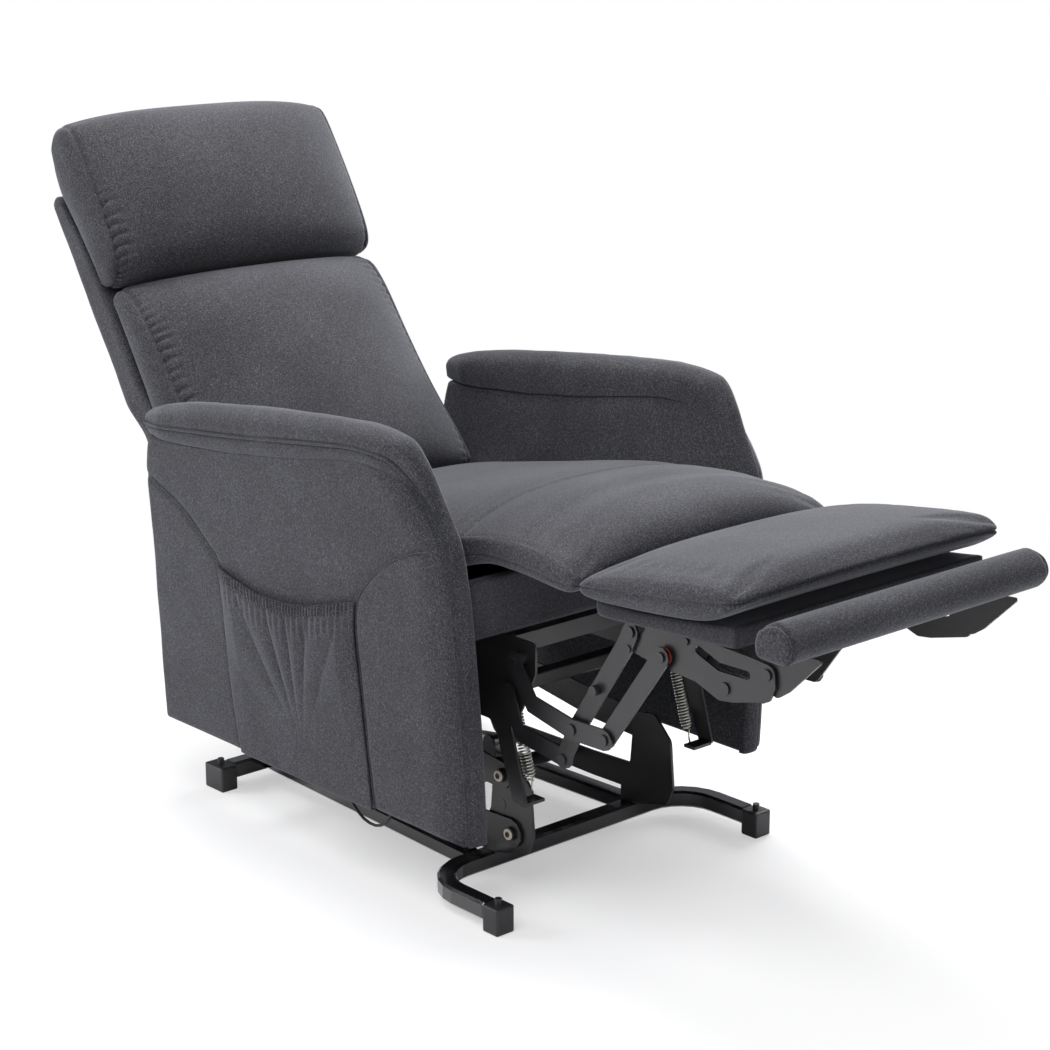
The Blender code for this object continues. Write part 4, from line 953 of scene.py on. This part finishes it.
def make_boards(m):
    """Back shell with its rear seams, front apron, ottoman board and the lining below the back; apron and
    board wear a darker copy of the cloth as painted shade.
    """
    shell = back_patch(rear=[(-0.098, -0.0125), (0.2, -0.0125), (0.496, -0.0125)],
                       front=[(-0.072, 0.0505), (0.1, 0.0503), (0.28, 0.049), (0.42, 0.032), (0.484, 0.019)],
                       bottom=[(-0.098, -0.0125), (-0.09, 0.02), (-0.072, 0.0505)],
                       top=[(0.496, -0.0125), (0.5035, 0.004), (0.484, 0.019)])
    ob = covered_board("back_shell_cover", "back_shell", "back", "fabric", m["fabric"], 0.286, shell, 0.6,
                       0.062, 0.012, 0.0065, 0.0012, 4, shell_half)
    flat = flat_of(ob)
    rear = flat[:, 2] < -0.03
    seam = np.where(rear, np.minimum(np.abs(np.abs(flat[:, 0]) - 0.262), np.abs(flat[:, 1] + 0.262)), 1.0)
    press(ob, -0.0022 * falloff(seam, 0.009))
    apron = Patch(start=[(-0.2447, 0.457), (-0.2618, 0.457)], end=[(-0.2447, 0.551), (-0.2618, 0.551)],
                  low=[(-0.2447, 0.457), (-0.2447, 0.551)], high=[(-0.2618, 0.457), (-0.2618, 0.551)])
    # the apron wears the darker copy of the cloth: painted shade under the seat's edge
    covered_board("front_apron_cover", "front_apron", "chair", "fabric", m["shaded"], 0.299, apron, 0.094,
                  0.0172, 0.004, 0.006, 0.0006, 5)
    board = Patch(start=[(-0.781, 0.5725), (-0.781, 0.598)],
                  end=[(-0.506, 0.5595), (-0.506, 0.575)],
                  low=[(-0.781, 0.5725), (-0.768, 0.5645), (-0.64, 0.5575), (-0.525, 0.5515),
                       (-0.506, 0.5595)],
                  high=[(-0.781, 0.598), (-0.74, 0.5925), (-0.6, 0.577), (-0.506, 0.575)])
    # the board wears the darker copy of the cloth: painted shade under the pad
    covered_board("ottoman_board_cover", "ottoman_board", "ottoman", "fabric", m["shaded"], 0.2695, board,
                  0.275, 0.024, 0.004, 0.006, 0.0008, 6)
    lining = Patch(start=[(0.562, 0.43), (0.6, 0.4205)], end=[(0.573, 0.501), (0.611, 0.518)],
                   low=[(0.562, 0.43), (0.567, 0.47), (0.573, 0.501)],
                   high=[(0.6, 0.4205), (0.631, 0.47), (0.611, 0.518)])
    covered_board("dust_cover_lining", "dust_cover", "back", "lining", m["lining"], 0.269, lining, 0.09,
                  0.04, 0.012, 0.006, 0.003, 7)


# ---------------- springs, washers and bushes
def make_springs(side, s, m):
    """Close-wound footrest spring with a hook at each end."""
    start, end = Vector((SPRING_X * s, *SPRING_TOP)), Vector((SPRING_X * s, *SPRING_FOOT))
    along = (end - start).normalized()
    across = along.cross(Vector((1.0, 0.0, 0.0))).normalized()
    third = along.cross(across)
    hook, radius, turns, per_turn = 0.022, 0.0086, 33, 14
    first, last = start + along * hook, end - along * hook
    path = [start, start + along * hook * 0.5]
    for k in range(turns * per_turn + 1):
        a = 2.0 * math.pi * k / per_turn
        share = k / (turns * per_turn)
        r = radius * min(1.0, 0.45 + 8.0 * min(share, 1.0 - share))
        path.append(first.lerp(last, share) + across * (r * math.cos(a)) + third * (r * math.sin(a)))
    path += [end - along * hook * 0.5, end]
    coil = tube("spring_coil_" + side, path, 0.00145, m["zinc"], 7)
    ship(coil, "chair", "spring", "spring_" + side)


def disc(name, centre, radius, hole, low, high, mat, sides=28):
    """A flat ring or plug across the chair: radius and hole in the (y, z) plane, low to high along x."""
    verts, faces = [], []
    chamfer = 0.12 * (radius - hole)
    rings = [(hole, low), (radius - chamfer, low), (radius, low + (high - low) * 0.25),
             (radius, high - (high - low) * 0.25), (radius - chamfer, high), (hole, high)]
    for r, x in rings:
        for k in range(sides):
            a = 2.0 * math.pi * k / sides
            verts.append((x, centre[0] + r * math.cos(a), centre[1] + r * math.sin(a)))
    count = len(rings)
    for i in range(count):
        j = (i + 1) % count
        for k in range(sides):
            n = (k + 1) % sides
            faces.append((i * sides + k, i * sides + n, j * sides + n, j * sides + k))
    ob = add_object(name, verts, faces, mat)
    bm = bmesh.new()
    bm.from_mesh(ob.data)
    bmesh.ops.recalc_face_normals(bm, faces=bm.faces)
    bm.to_mesh(ob.data)
    bm.free()
    ob.data.set_sharp_from_angle(angle=math.radians(40))
    return ob


def make_hardware(side, s, m):
    """Cream bushes with hex bolts on the lift links and red washers behind the footrest pivots."""
    near = s * BUSH_FACE
    for name, body, pivot in LIFT_PIVOTS:
        end = name + "_" + side
        ring = disc("bush_" + end, pivot, 0.0092, 0.0046, near, near + s * 0.003, m["nylon"], 32)
        ship(ring, body, "plastic")
        bolt = disc("bush_bolt_" + end, pivot, 0.0052, 0.0022, near, near + s * 0.0042, m["steel"], 6)
        ship(bolt, body, "steel")
    for name, body, pivot, radius, x in WASHERS:
        ring = disc("washer_" + name + "_" + side, pivot, radius, 0.006, s * x, s * (x + 0.0007), m["washer"])
        ship(ring, body, "plastic")


# ---------------- metal and plastic finishes
def node_finish(name):
    """Finish of a CAD node that stays in view."""
    if name.startswith("base_"):
        return "tube"
    if name.startswith(("foot_cap", "power", "actuator_body")):
        return "plastic"
    if name.startswith(("spring", "actuator_rod")):
        return "zinc"
    return "lining" if name == "seat_deck" else "steel"


def dress_nodes(m):
    """Give every CAD node that stays in view its finish."""
    for name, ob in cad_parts.items():
        for slot in ob.material_slots:
            slot.material = m[node_finish(name)]


def main():
    """Build the whole scene."""
    make_camera()
    make_studio()
    m = make_materials()
    dress_nodes(m)
    make_headrest(m)
    make_back_cushion(m)
    make_seat_cushion(m)
    make_ottoman_pad(m)
    make_bolster(m)
    for side, s in SIDES:
        make_side_panel(side, s, m)
        make_arm_strip(side, s, m)
        make_pocket(side, s, m)
        make_panel_cords(side, s, m)
        make_springs(side, s, m)
        make_hardware(side, s, m)
    make_boards(m)


main()
